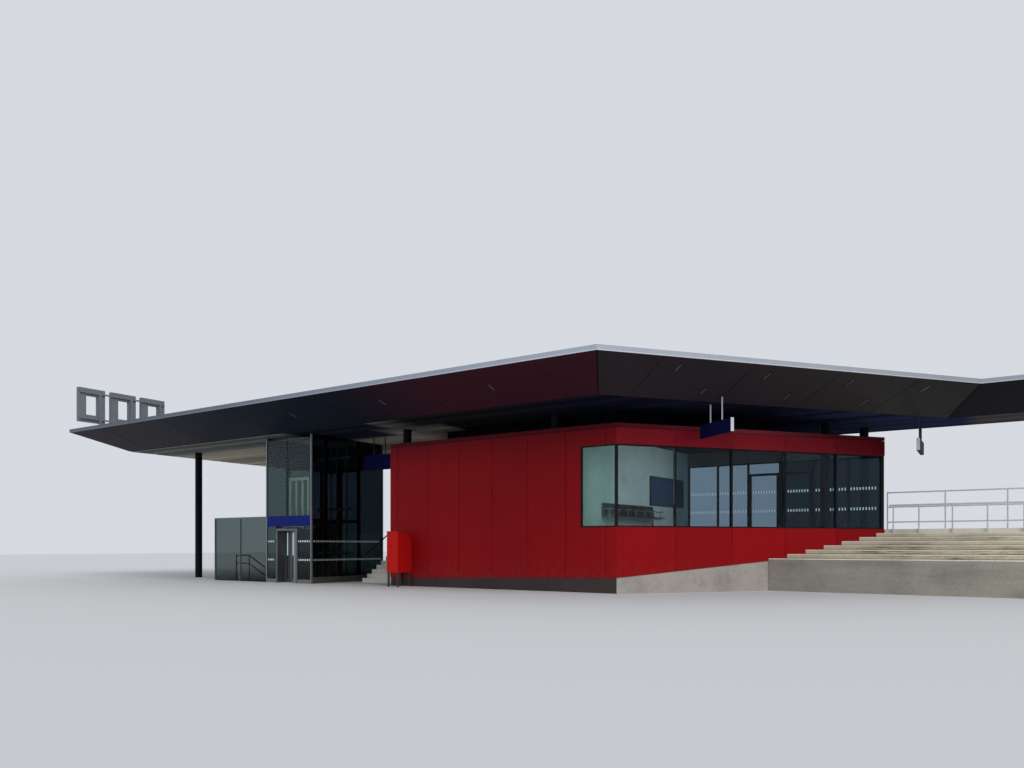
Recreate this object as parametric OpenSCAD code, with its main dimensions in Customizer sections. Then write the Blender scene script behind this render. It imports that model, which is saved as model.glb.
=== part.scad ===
// Railway station building: a thin-edged roof on round columns over a red waiting room,
// a glass lift tower, a stair screen and the steps up to the platform.
// Lengths are in millimetres. X runs along the front, Y runs in towards the tracks.
// Plan points are measured from the front ceiling corner, where the front turns oblique.

/* [Roof] */
// Length of the front edge of the ceiling
ceiling_len = 24700; // [20000:100:26000]
// Depth of the ceiling, front to rear
ceiling_depth = 12500; // [11800:50:13500]
// Height of the ceiling above the lowest ground
ceiling_z = 6000; // [5700:10:6600]
// Angle by which the oblique face turns away from the front
turn = 50.7; // [45:0.1:56]
// Distance of the wing's front ceiling edge behind the front
wing_y = 10390; // [9900:10:10700]
// Right end of the wing's ceiling
wing_end = 12200; // [11000:50:14000]
// Width of the sloping soffit at the front, oblique and rear edges
band_w = 2200; // [1600:50:2800]
// Width of the sloping soffit at the two ends
end_band_w = 1100; // [700:50:1600]
// Rise of the sloping soffit from its inner to its outer edge
soffit_rise = 700; // [400:10:900]
// Height of the bright metal edge strip
fascia_h = 150; // [120:5:260]
// Thickness of the metal edge strip
fascia_t = 30; // [10:5:60]
// Thickness of the soffit and ceiling panels
soffit_t = 50; // [30:5:90]
// Thickness of the roof deck
deck_t = 50; // [30:5:60]
// Width of the raised kerb round the deck
kerb_w = 150; // [80:10:300]
// Width of the ribs and beams between ceiling and deck
rib_w = 200; // [100:10:300]

/* [Columns] */
// Diameter of the round columns
column_d = 320; // [250:5:340]
// Front row's distance behind the ceiling edge
front_row_y = 2000; // [1950:10:2600]
// Rear row's distance behind the ceiling edge
rear_row_y = 11200; // [10900:50:11800]
// Line of the room's right column
column_x = -2580; // [-2700:10:-2540]
// Distance between the two columns over the room
column_bay = 6555; // [6400:5:6600]
// Distance of the left columns from the ceiling's left end
column_inset = 2455; // [2200:5:2700]
// Distance of the column in the room's pointed end from that end
inner_column_back = 1930; // [1800:10:2200]
// Distance of the wing's first column behind the room's right end
wing_column_back = 890; // [700:10:1200]
// Distance of the wing's last column from the ceiling's right end
wing_column_inset = 600; // [400:10:900]

/* [Waiting room] */
// Left end of the room
room_left = -9500; // [-9700:10:-9450]
// Front face's distance behind the ceiling edge
room_front = 1440; // [1300:10:1500]
// Corner where the room's front turns oblique
room_corner = -80; // [-400:10:200]
// Rear face's distance behind the ceiling edge
room_back = 9600; // [9500:10:9900]
// Top of the red walls
room_top = 5380; // [5250:10:5600]
// Height of the room's and the platform's floor
floor_z = 2100; // [1980:10:2300]
// Thickness of the floors
floor_t = 250; // [150:10:400]
// Thickness of the room's own roof
room_roof_t = 150; // [100:10:250]
// Distance of the dark core above the room behind the room's long faces
core_back = 1860; // [1500:10:2200]
// Distance of the dark core behind the room's left face
core_side = 1320; // [1000:10:1800]
// Thickness of the dark core's walls
core_t = 100; // [60:5:150]
// Thickness of the structural walls
wall_t = 150; // [100:10:165]
// Thickness of the red wall panels
clad_t = 50; // [30:5:60]
// Width of the open joints between red panels
joint_w = 14; // [6:1:25]
// Module of the red panels on the front
front_module = 1450; // [1200:5:1600]
// First front joint's distance from the corner
front_offset = 360; // [250:5:600]
// Height of the level joint in one front panel
cross_joint_z = 3810; // [3300:10:4300]
// Lower edge of the red panels at the front's left end
skirt_left = 290; // [150:10:450]
// Lower edge of the red panels at the corner
skirt_corner = 500; // [400:10:700]
// Lower edge of the red panels where the steps begin
skirt_steps = 1000; // [900:10:1200]
// How far the grey plinth stands back behind the red panels
plinth_back = 15; // [10:1:25]
// Height of the coping over the red panels
coping_h = 130; // [80:5:200]
// Open joint under the coping
coping_joint = 12; // [6:1:20]
// Number of panels on the room's left side
side_bays = 5; // [4:1:6]
// Thickness of the inner wall on the left of the waiting room
inner_t = 150; // [100:10:200]

/* [Windows] */
// Head of the windows
head_z = 4720; // [4400:10:4900]
// Width of the window that turns onto the front
corner_window = 1270; // [1000:10:1400]
// Number of bays along the oblique face
oblique_bays = 5; // [4:1:6]
// Number of glazed bays along the platform face
rear_bays = 6; // [5:1:7]
// Width of a glazed bay in the platform face
rear_bay = 1200; // [1100:10:1230]
// First of the two bays that hold the platform door, counted from the pointed end
entry_bay = 2; // [1:1:3]
// Height of the platform door
entry_h = 2200; // [2050:10:2300]
// Width of the stiles and rails round the door's glass
stile_w = 90; // [60:5:120]
// Width of the window mullions
mullion_w = 70; // [50:5:120]
// Width of the frames along sill and head and at the end of the windows
frame_edge = 45; // [35:5:80]
// Width of the corner post on each face
corner_post = 65; // [60:5:160]
// Width of the post at the pointed end of the oblique face
end_post = 160; // [140:5:220]
// Depth of the window frames
frame_t = 100; // [80:5:105]
// How far the frames stand back behind the red panels
frame_back = 10; // [0:1:20]
// Thickness of the glass
glass_t = 24; // [12:1:30]
// How far the glass stands back behind the face of its frame
glass_back = 30; // [20:1:45]

/* [Bench] */
// Number of seats on the bench along the inner wall
bench_seats = 6; // [4:1:8]
// Spacing of the seats
bench_pitch = 600; // [540:10:650]
// Distance of the first seat from the front wall
bench_start = 1150; // [300:10:1500]
// Height of the seats
bench_h = 440; // [400:10:480]
// Depth of the seats
bench_d = 460; // [400:10:520]
// Height of the backrests above the seats
bench_back = 420; // [350:10:500]
// Thickness of the seats and backrests
bench_t = 30; // [20:1:40]
// Side of the bench's beam and legs
bench_bar = 60; // [40:5:80]

/* [Steps and platform] */
// Right end of the platform and of the wide steps
platform_right = 12900; // [12500:50:13200]
// Rear edge of the platform
platform_back = 13200; // [12700:50:14000]
// Number of wide steps
wide_steps = 7; // [4:1:7]
// Tread of a wide step
wide_tread = 585; // [500:5:590]
// Height of the lowest wide step
wide_first = 1080; // [1000:10:1130]
// Height between two wide steps
wide_rise = 146; // [130:1:155]
// Front of the lowest wide step
wide_front = 5800; // [5700:10:5900]
// Thickness of the retaining walls
retaining_t = 250; // [200:10:350]
// Number of risers of the hall stair
hall_risers = 12; // [11:1:13]
// Tread of the hall stair
hall_tread = 280; // [260:5:300]
// Front of the hall stair
hall_front = 2480; // [2300:10:2500]
// Left side of the hall stair
hall_left = -11970; // [-12300:10:-11500]

/* [Railings] */
// Diameter of the handrails
rail_d = 54; // [44:1:64]
// Diameter of the railing posts
post_d = 46; // [36:1:50]
// Handrail of the step railing above the platform
step_rail_h = 840; // [750:10:1000]
// Distance between the step railing's first two posts
step_first_gap = 800; // [600:10:1200]
// Spacing of the step railing's other posts
step_post_gap = 1010; // [900:10:1200]
// Top of the platform railing above the platform
deck_rail_h = 1320; // [1100:10:1400]
// Spacing of the platform railing's posts
deck_post_gap = 1810; // [1500:10:2000]
// Handrail height over the stairs
stair_rail_h = 950; // [900:10:1050]

/* [Lift tower] */
// Left side of the tower
tower_left = -15640; // [-15800:10:-15600]
// Right side of the tower
tower_right = -12910; // [-12950:10:-12800]
// Front of the tower
tower_front = 600; // [500:10:700]
// Rear of the tower
tower_back = 4750; // [4500:10:5200]
// Side of the square steel posts
tower_post = 70; // [60:5:90]
// Height of the concrete upstand under the glass
tower_base_h = 250; // [150:10:350]
// Thickness of the concrete upstand
tower_base_t = 120; // [80:5:150]
// Bottom of the blue band
band_z = 2310; // [2300:10:2340]
// Height of the blue band
band_h = 420; // [350:10:450]
// Depth of the blue band
band_t = 90; // [60:5:120]
// Left side of the door opening
door_left = -14930; // [-14940:5:-14900]
// Width of the door opening
door_w = 1110; // [1050:5:1120]
// Height of the door opening
door_h = 2120; // [2050:5:2130]
// Width of the door portal's jambs and head
jamb_w = 90; // [60:5:100]
// Depth of the door portal
portal_d = 400; // [250:5:420]
// Thickness of a door leaf
leaf_t = 40; // [30:1:50]
// How far a leaf laps over the edge of the opening
leaf_lap = 25; // [10:1:35]
// Gap between the leaves, and between leaves and portal
leaf_gap = 6; // [5:1:10]
// Width of the narrow panes in the leaves
slit_w = 70; // [50:5:100]
// Height of the narrow panes in the leaves
slit_h = 1880; // [1500:10:1900]
// Bottom of the narrow panes
slit_z = 170; // [120:10:180]

/* [Stair screen] */
// Left end of the screen beside the underpass stair
screen_left = -19070; // [-19500:10:-18500]
// Top of the screen
screen_h = 2730; // [2400:10:2900]
// Side of the screen's posts
screen_post = 60; // [50:5:80]
// Left end of the underpass handrails
newel_x = -17770; // [-18200:10:-17500]
// Height of the upper underpass handrail
underpass_rail_h = 1100; // [1000:10:1150]
// Where the underpass handrails begin to fall
fall_x = -16900; // [-17200:10:-16700]
// Fall of the underpass handrails per unit of run
fall_slope = 0.49; // [0.4:0.01:0.55]

/* [Signs and cabinet] */
// Length of the hanging signs
sign_len = 1700; // [1400:10:1750]
// Height of the two signs beside the room
sign_h = 420; // [300:10:500]
// Height of the sign over the hall stair
hall_sign_h = 620; // [400:10:700]
// Thickness of the hanging signs
sign_t = 110; // [80:5:150]
// Top of the sign at the oblique face
sign_top = 5390; // [5200:10:5500]
// Top of the sign over the platform's end
wing_sign_top = 5200; // [5000:10:5500]
// Top of the sign over the hall stair
hall_sign_top = 5280; // [5100:10:5500]
// Distance of the first sign from the ceiling corner, along the oblique edge
sign_along = 4010; // [3600:10:4400]
// Number of blank boxes in the rooftop sign
roof_boxes = 3; // [2:1:4]
// Width of a rooftop box
roof_box_w = 1200; // [1000:10:1300]
// Height of a rooftop box
roof_box_h = 1550; // [1300:10:1700]
// Spacing of the rooftop boxes
roof_box_gap = 1490; // [1400:10:1700]
// Thickness of a rooftop box
roof_box_t = 200; // [120:10:260]
// Bottom of the rooftop boxes above the deck
roof_box_lift = 400; // [300:10:600]
// Width of the boxes' rims round their open middle
roof_box_rim = 330; // [200:10:450]
// Distance of the wall cabinet from the room's left end
cabinet_x = 510; // [300:10:800]
// Width of the wall cabinet
cabinet_w = 530; // [400:10:700]
// Depth of the wall cabinet
cabinet_t = 760; // [500:10:900]
// Height of the wall cabinet's front
cabinet_h = 1500; // [1200:10:1600]
// Fall of the wall cabinet's top towards the wall
cabinet_fall = 160; // [60:10:240]
// Height of the wall cabinet's legs
cabinet_foot = 520; // [400:10:600]
// Side of the wall cabinet's square legs
cabinet_leg = 60; // [40:5:90]

/* [Hidden] */
$fn = 48;

big = 60000;
// How far a cutting shape reaches past the faces that it cuts
cut = 10;
// Clearance of a piece in its seat
seat = 0.3;
deck_z = ceiling_z + soffit_rise + soffit_t;
roof_top = ceiling_z + soffit_rise + fascia_h;
attic_z = ceiling_z + soffit_t;
total_t = clad_t + wall_t;
wall_top = room_top - room_roof_t;
panel_top = room_top - coping_h - coping_joint;

// Point on the oblique line that lies off outside the ceiling corner, at depth y
function oblique_at(y, off) = (off + y * cos(turn)) / sin(turn);

// Roof outline at b outside the long ceiling edges and e outside the end edges
function roof_outline(b, e) = [
    [-ceiling_len - e, -b],
    [oblique_at(-b, b), -b],
    [oblique_at(wing_y - b, b), wing_y - b],
    [wing_end + e, wing_y - b],
    [wing_end + e, ceiling_depth + b],
    [-ceiling_len - e, ceiling_depth + b]
];
ceiling_plan = roof_outline(0, 0);
fascia_plan = roof_outline(band_w, end_band_w);
deck_plan = roof_outline(band_w - fascia_t, end_band_w - fascia_t);

// Outward direction of each roof edge, counted as in the outline
edge_angle = [-90, turn - 90, -90, 0, 90, 180];
edge_band = [for (i = [0:5]) (i == 3 || i == 5 ? end_band_w : band_w) - fascia_t];

// Room outline at t inside the faces of the red panels
room_off = room_corner * sin(turn) - room_front * cos(turn);
function room_plan(t) = [
    [room_left + t, room_front + t],
    [oblique_at(room_front + t, room_off - t), room_front + t],
    [oblique_at(room_back - t, room_off - t), room_back - t],
    [room_left + t, room_back - t]
];
outer_plan = room_plan(0);
wall_angle = [0, turn, 180, -90];
function wall_length(i) = norm(outer_plan[(i + 1) % 4] - outer_plan[i]);
front_len = wall_length(0);
oblique_len = wall_length(1);
rear_len = wall_length(2);
side_len = wall_length(3);
oblique_bay = oblique_len / oblique_bays;
rear_glazed = rear_bays * rear_bay;
room_right = outer_plan[2][0];

// Lower edge of the red panels, as a height over the distance along a wall
function front_skirt(s) = skirt_left + (skirt_corner - skirt_left) * s / front_len;
wall_at_steps = (wide_front - room_front) / sin(turn);
function oblique_skirt(s) = skirt_corner + (skirt_steps - skirt_corner) * s / wall_at_steps;

site_shift = -(fascia_plan[0] + fascia_plan[4]) / 2;

module at_site() translate([site_shift[0], site_shift[1], 0]) children();
module prism(points, z0, z1) translate([0, 0, z0]) linear_extrude(z1 - z0) polygon(points);
module block(x0, x1, y0, y1, z0, z1)
    translate([x0, y0, z0]) cube([x1 - x0, y1 - y0, z1 - z0]);
module rod(p, q, d) {
    v = q - p;
    translate(p) rotate([0, acos(v[2] / norm(v)), atan2(v[1], v[0])]) cylinder(d = d, h = norm(v));
}
// Ball that rounds off the end or the bend of a rail
knuckle_lip = 3;
module knuckle(p, d) translate(p) sphere(d = d + 2 * knuckle_lip);

// Roof
kerb_drop = 10;
module roof_deck() at_site() color("#8f9498") difference() {
    prism(deck_plan, deck_z, roof_top - kerb_drop);
    prism(roof_outline(band_w - fascia_t - kerb_w, end_band_w - fascia_t - kerb_w),
        deck_z + deck_t, roof_top);
}

module fascia() at_site() color("#c9cdd0") difference() {
    prism(fascia_plan, ceiling_z + soffit_rise, roof_top);
    prism(deck_plan, ceiling_z, roof_top + cut);
}

// Sloping soffit along edge i, mitred with its neighbours
module soffit_band(i) {
    j = (i + 1) % 6;
    w = edge_band[i];
    at_site() color("#2d2b2d") intersection() {
        prism([ceiling_plan[i], deck_plan[i], deck_plan[j], ceiling_plan[j]], ceiling_z, deck_z);
        translate([ceiling_plan[i][0], ceiling_plan[i][1], ceiling_z]) rotate([0, 0, edge_angle[i]])
            rotate([90, 0, 0]) linear_extrude(2 * big, center = true)
                polygon([[0, 0], [w, soffit_rise], [w, soffit_rise + soffit_t], [0, soffit_t]]);
    }
}
module soffit_front() soffit_band(0);
module soffit_oblique() soffit_band(1);
module soffit_wing() soffit_band(2);
module soffit_right_end() soffit_band(3);
module soffit_rear() soffit_band(4);
module soffit_left_end() soffit_band(5);

module slat_ceiling() at_site() color("#b9b5a6") prism(ceiling_plan, ceiling_z, attic_z);

// Tapered ribs over the column lines, tied by one beam over each row
rib_tip_gap = 100;
rib_tip = band_w - fascia_t - rib_tip_gap;
rib_tip_z = attic_z + seat + soffit_rise * rib_tip / (band_w - fascia_t);
module roof_frame() at_site() color("#6d7276") {
    for (x = rib_lines)
        translate([x + rib_w / 2, 0, 0]) rotate([90, 0, -90]) linear_extrude(rib_w)
            polygon([[rib_tip, rib_tip_z], [0, attic_z + seat], [-ceiling_depth, attic_z + seat],
                [-ceiling_depth - rib_tip, rib_tip_z], [-ceiling_depth - rib_tip, deck_z],
                [rib_tip, deck_z]]);
    block(-ceiling_len, 0, front_row_y - rib_w / 2, front_row_y + rib_w / 2, attic_z, deck_z);
    block(-ceiling_len, wing_end, rear_row_y - rib_w / 2, rear_row_y + rib_w / 2, attic_z, deck_z);
}

// Columns
column_gap = 40;
room_line = column_x - column_bay;
left_line = column_inset - ceiling_len;
rib_lines = [column_x, room_line, (room_line + left_line) / 2, left_line];
front_lines = [for (k = [0, 1, 3]) rib_lines[k]];
inner_column = [room_right - inner_column_back, room_back - total_t - column_d / 2 - column_gap];
wing_columns = [room_right - wing_column_back, wing_end - wing_column_inset];
module column(x, y, z0) translate([x, y, z0]) cylinder(d = column_d, h = ceiling_z - z0);
function foot_z(x) = x < tower_right ? 0 : floor_z;

module front_columns() at_site() color("#26282b") {
    for (x = front_lines)
        column(x, front_row_y, x < room_left ? 0 : floor_z);
    column(inner_column[0], inner_column[1], floor_z);
}

module rear_columns() at_site() color("#26282b")
    for (x = concat(rib_lines, wing_columns)) column(x, rear_row_y, foot_z(x));

// Plan strip of wall i, from t0 to t1 inside the panel faces
module wall_strip(i, t0, t1, z0, z1) {
    j = (i + 1) % 4;
    prism([room_plan(t0)[i], room_plan(t0)[j], room_plan(t1)[j], room_plan(t1)[i]], z0, z1);
}

// Puts a drawing (distance along wall i, height) on that wall, from t0 to t1 inside its face
module on_wall(i, t0, t1) intersection() {
    wall_strip(i, t0, t1, -cut, ceiling_z);
    translate([outer_plan[i][0], outer_plan[i][1], 0]) rotate([0, 0, wall_angle[i]])
        translate([0, t1, 0]) rotate([90, 0, 0]) linear_extrude(t1 - t0) children();
}
module sheet(s0, s1, z0, z1) translate([s0, z0]) square([s1 - s0, z1 - z0]);
module panel_joint(s) sheet(s - joint_w / 2, s + joint_w / 2, -cut, ceiling_z);
window_start = front_len - corner_window;

// Waiting room
module front_wall() at_site() color("#a8a49c") difference() {
    wall_strip(0, clad_t, total_t, 0, wall_top);
    block(room_left + window_start, big, 0, room_front + 2 * total_t, floor_z, head_z);
}
module oblique_base() at_site() color("#a8a49c") wall_strip(1, clad_t, total_t, 0, floor_z);
module platform_base() at_site() color("#a8a49c") wall_strip(2, clad_t, total_t, 0, floor_z);
module rear_wall() at_site() color("#a8a49c") on_wall(2, clad_t, total_t)
    sheet(rear_glazed, rear_len, floor_z, head_z);
module lintels() at_site() color("#a8a49c")
    for (i = [1, 2]) wall_strip(i, clad_t, total_t, head_z, wall_top);
module side_wall() at_site() color("#a8a49c") wall_strip(3, clad_t, total_t, 0, wall_top);

// Inner wall from beside the front window to the left end of the platform glazing
inner_step = 40;
inner_front = [room_left + window_start - inner_step, room_front + total_t];
inner_rear = [room_right - rear_glazed, room_back - total_t];
inner_angle = atan2(inner_rear[1] - inner_front[1], inner_rear[0] - inner_front[0]);
module inner_wall() at_site() color("#c3cec8")
    prism([inner_front, inner_rear, inner_rear - [inner_t, 0], inner_front - [inner_t, 0]],
        floor_z, wall_top);

module room_floor() at_site() color("#8b8a86")
    prism(room_plan(total_t), floor_z - floor_t, floor_z);

sleeve_gap = 10;
module room_roof() at_site() color("#9b9c9c") difference() {
    prism(room_plan(clad_t), wall_top, room_top);
    for (p = [[rib_lines[0], front_row_y], [rib_lines[1], front_row_y], inner_column])
        translate([p[0], p[1], wall_top - cut])
            cylinder(d = column_d + 2 * sleeve_gap, h = room_roof_t + 2 * cut);
}

// Set-back box that closes the space between the room's roof and the ceiling
function core_plan(t) = [
    [room_left + core_side + t, room_front + core_back + t],
    [oblique_at(room_front + core_back + t, room_off - core_back - t), room_front + core_back + t],
    [oblique_at(room_back - core_back - t, room_off - core_back - t), room_back - core_back - t],
    [room_left + core_side + t, room_back - core_back - t]
];
module roof_core() at_site() color("#1b1d20") difference() {
    prism(core_plan(0), room_top, ceiling_z);
    prism(core_plan(core_t), room_top - cut, ceiling_z + cut);
}

module plinth() at_site() color("#7d7d7b") {
    on_wall(0, plinth_back, clad_t) polygon([[0, 0], [front_len, 0],
        [front_len, skirt_corner - joint_w], [0, skirt_left - joint_w]]);
    on_wall(1, plinth_back, clad_t) polygon([[0, 0], [oblique_len, 0],
        [oblique_len, oblique_skirt(oblique_len) - joint_w], [0, skirt_corner - joint_w]]);
    on_wall(3, plinth_back, clad_t) sheet(side_len - (hall_front - room_front), side_len, 0,
        skirt_left - joint_w);
}

// Coping: mitred strips with a groove down each corner
coping_groove = 4;
module coping() at_site() color("#9e1b20")
    for (i = [0:3]) on_wall(i, 0, clad_t)
        sheet(coping_groove / 2, wall_length(i) - coping_groove / 2, room_top - coping_h, room_top);

// Joint positions along the front, from its left end
least_panel = 300;
front_joints = [for (s = [front_len - front_offset : -front_module : least_panel]) s];
cross_panel = 4;
module front_panels() at_site() color("#9e1b20") on_wall(0, 0, clad_t) difference() {
    polygon([[0, front_skirt(0)], [front_len, front_skirt(front_len)], [front_len, panel_top],
        [0, panel_top]]);
    for (s = front_joints) panel_joint(s);
    sheet(front_joints[cross_panel], front_joints[cross_panel - 1], cross_joint_z - joint_w / 2,
        cross_joint_z + joint_w / 2);
    sheet(window_start, big, floor_z, head_z);
}

module oblique_panels() at_site() color("#9e1b20") on_wall(1, 0, clad_t) difference() {
    polygon([[0, oblique_skirt(0)], [oblique_len, oblique_skirt(oblique_len)],
        [oblique_len, panel_top], [0, panel_top]]);
    for (k = [1 : oblique_bays - 1]) panel_joint(k * oblique_bay);
    sheet(-cut, big, floor_z, head_z);
}

side_panel = side_len / side_bays;
module side_panels() at_site() color("#9e1b20") on_wall(3, 0, clad_t) difference() {
    union() {
        sheet(0, side_len, floor_z, panel_top);
        sheet(side_len - (hall_front - room_front), side_len, skirt_left, panel_top);
    }
    for (k = [1 : side_bays - 1]) panel_joint(k * side_panel);
}

module rear_panels() at_site() color("#9e1b20") on_wall(2, 0, clad_t) difference() {
    union() {
        sheet(0, rear_len, head_z, panel_top);
        sheet(rear_glazed, rear_len, floor_z, panel_top);
    }
    for (k = [1 : rear_bays]) panel_joint(k * rear_bay);
    for (s = [rear_glazed + front_module : front_module : rear_len - least_panel]) panel_joint(s);
}

// Windows: a frame with one hole for each pane
frame_end = frame_back + frame_t;
pane_start = frame_back + glass_back;
module front_pane() sheet(window_start + frame_edge, front_len - corner_post,
    floor_z + frame_edge, head_z - frame_edge);
module oblique_pane(k) sheet(k == 0 ? corner_post : k * oblique_bay + mullion_w / 2,
    (k + 1) * oblique_bay - (k == oblique_bays - 1 ? end_post : mullion_w / 2),
    floor_z + frame_edge, head_z - frame_edge);
// Pane of the platform glazing; the door's two bays have a leaf under a transom light
module rear_pane(k) {
    s0 = k == 0 ? end_post : k * rear_bay + mullion_w / 2;
    s1 = (k + 1) * rear_bay - (k == rear_bays - 1 ? frame_edge : mullion_w / 2);
    if (k == entry_bay || k == entry_bay + 1) {
        sheet(s0 + stile_w, s1 - stile_w, floor_z + stile_w, floor_z + entry_h - stile_w);
        sheet(s0, s1, floor_z + entry_h, head_z - frame_edge);
    }
    else sheet(s0, s1, floor_z + frame_edge, head_z - frame_edge);
}

module front_frame() at_site() color("#22262a") on_wall(0, frame_back, frame_end) difference() {
    sheet(window_start, front_len, floor_z + seat, head_z - seat);
    front_pane();
}

module oblique_frame() at_site() color("#22262a") on_wall(1, frame_back, frame_end) difference() {
    sheet(0, oblique_len, floor_z + seat, head_z - seat);
    for (k = [0 : oblique_bays - 1]) oblique_pane(k);
}

module window_panes() at_site() color("#7f99a3") {
    on_wall(0, pane_start, pane_start + glass_t) front_pane();
    on_wall(1, pane_start, pane_start + glass_t)
        for (k = [0 : oblique_bays - 1]) oblique_pane(k);
}

module platform_frames() at_site() color("#22262a") on_wall(2, frame_back, frame_end) difference() {
    sheet(0, rear_glazed - seat, floor_z + seat, head_z - seat);
    for (k = [0 : rear_bays - 1]) rear_pane(k);
}

module platform_panes() at_site() color("#7f99a3") on_wall(2, pane_start, pane_start + glass_t)
    for (k = [0 : rear_bays - 1]) rear_pane(k);

// Bench along the inner wall, drawn with the wall's face at y = 0 and the room on the -y side
bench_gap = 120;
bench_lean = 60;
arm_space = 60;
arm_bar = 30;
arm_h = 200;
arm_len = 300;
foot_len = 340;
foot_t = 12;
bench_mid = -(bench_gap + bench_d / 2);
module bench_seat(x) translate([x, 0, 0]) rotate([90, 0, 90]) linear_extrude(bench_pitch - arm_space)
    polygon([[-bench_gap - bench_d, bench_h], [-bench_gap, bench_h],
        [bench_lean - bench_gap, bench_h + bench_back],
        [bench_lean - bench_gap + bench_t, bench_h + bench_back],
        [bench_t - bench_gap, bench_h - bench_t], [-bench_gap - bench_d, bench_h - bench_t]]);
module bar_at(x, w, d, z0, z1)
    block(x - w / 2, x + w / 2, bench_mid - d / 2, bench_mid + d / 2, z0, z1);

module bench() at_site() translate([inner_front[0], inner_front[1], floor_z])
    rotate([0, 0, inner_angle]) translate([bench_start, 0, 0]) {
        beam_z = bench_h - bench_t;
        color("#2b2f33") for (k = [0 : bench_seats - 1]) bench_seat(k * bench_pitch + arm_space / 2);
        color("#b4b8ba") {
            bar_at(bench_seats * bench_pitch / 2, bench_seats * bench_pitch + arm_bar, bench_bar,
                beam_z - bench_bar, beam_z);
            for (k = [0 : bench_seats]) {
                bar_at(k * bench_pitch, arm_bar, arm_bar, beam_z, bench_h + arm_h);
                bar_at(k * bench_pitch, arm_bar, arm_len, bench_h + arm_h, bench_h + arm_h + arm_bar);
            }
            for (k = [1, bench_seats - 1]) {
                bar_at(k * bench_pitch, bench_bar, bench_bar, 0, beam_z);
                bar_at(k * bench_pitch, bench_bar, foot_len, 0, foot_t);
            }
        }
    }

// Platform and stairs
hall_back = hall_front + (hall_risers - 1) * hall_tread;
hall_rise = floor_z / hall_risers;
module platform_deck() at_site() color("#a9a69d") prism([
    [tower_right, hall_back], [room_left, hall_back], [room_left, room_back],
    [platform_right, room_back], [platform_right, platform_back], [tower_right, platform_back]
], floor_z - floor_t, floor_z);

module platform_walls() at_site() color("#b9b5a9") {
    top = floor_z - floor_t;
    block(tower_right, platform_right, platform_back - retaining_t, platform_back, 0, top);
    block(platform_right - retaining_t, platform_right, room_back, platform_back, 0, top);
    block(tower_right, tower_right + retaining_t, hall_back, platform_back, 0, top);
    block(tower_right, hall_left, hall_back, hall_back + retaining_t, 0, top);
    block(room_right, platform_right, room_back, room_back + retaining_t, 0, top);
}

// Wide steps: each step runs from the oblique wall to the platform's right end
function step_y(k) = wide_front + k * wide_tread;
function step_z(k) = wide_first + k * wide_rise;
module wide_stair() at_site() color("#b5ae9d") intersection() {
    prism([[oblique_at(wide_front, room_off), wide_front], [platform_right, wide_front],
        [platform_right, room_back], [room_right, room_back]], 0, floor_z);
    rotate([90, 0, 90]) linear_extrude(platform_right) polygon(concat(
        [[room_back, 0], [wide_front, 0]],
        [for (k = [0 : wide_steps - 1], end = [0, 1])
            [k + end == wide_steps ? room_back : step_y(k + end), step_z(k)]]));
}

module hall_stair() at_site() color("#b5ae9d")
    for (k = [1 : hall_risers - 1])
        block(hall_left, room_left, hall_front + (k - 1) * hall_tread, hall_back, 0, k * hall_rise);

// Railings
end_space = 100;
step_rail_over = 130;
step_rail_y = room_back - post_d;
step_rail_x = room_right + 280;
step_posts = floor((platform_right - step_rail_x - step_first_gap - end_space) / step_post_gap);
step_post_x = concat([0], [for (k = [0 : step_posts]) step_first_gap + k * step_post_gap]);
module step_railing() at_site() color("#b4b8ba") {
    rail_z = floor_z + step_rail_h;
    rod([step_rail_x - step_rail_over, step_rail_y, rail_z], [platform_right, step_rail_y, rail_z], rail_d);
    for (x = step_post_x)
        rod([step_rail_x + x, step_rail_y, step_z(wide_steps - 1)],
            [step_rail_x + x, step_rail_y, rail_z], post_d);
}

deck_rail_y = room_back + 400;
deck_mid_drop = 520;
deck_low_h = 260;
deck_posts = floor((platform_right - room_right - end_space) / deck_post_gap);
module platform_railing() at_site() color("#b4b8ba") {
    x_end = room_right + post_d + deck_posts * deck_post_gap;
    for (h = [deck_rail_h, deck_rail_h - deck_mid_drop, deck_low_h])
        rod([room_right + post_d, deck_rail_y, floor_z + h], [x_end, deck_rail_y, floor_z + h],
            post_d);
    for (k = [0 : deck_posts])
        rod([room_right + post_d + k * deck_post_gap, deck_rail_y, floor_z],
            [room_right + post_d + k * deck_post_gap, deck_rail_y, floor_z + deck_rail_h + post_d / 2],
            post_d);
}

hall_rail_inset = 60;
module hall_railing() at_site() color("#b4b8ba") {
    x = hall_left + rail_d;
    x1 = tower_right + hall_rail_inset;
    y0 = hall_front + hall_tread / 2;
    y1 = hall_back + hall_rail_inset;
    z0 = hall_rise;
    rod([x, y0, z0 + stair_rail_h], [x, y1, floor_z + stair_rail_h], rail_d);
    rod([x, y1, floor_z + stair_rail_h], [x1, y1, floor_z + stair_rail_h], rail_d);
    for (p = [[x, y0, z0], [x, y1, floor_z], [x1, y1, floor_z]]) {
        rod(p, p + [0, 0, stair_rail_h], post_d);
        knuckle(p + [0, 0, stair_rail_h], rail_d);
    }
}

// Lift tower
tower_mid = door_left + door_w / 2;
door_right = door_left + door_w;
portal_left = door_left - jamb_w;
portal_right = door_right + jamb_w;
portal_top = door_h + jamb_w;
band_top = band_z + band_h;
module post_at(x, y, z0, z1, s) block(x, x + s, y, y + s, z0, z1);

module tower_posts() at_site() color("#b4b8ba")
    for (x = [tower_left, tower_right - tower_post], y = [tower_front, tower_back - tower_post])
        post_at(x, y, 0, ceiling_z, tower_post);

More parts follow.
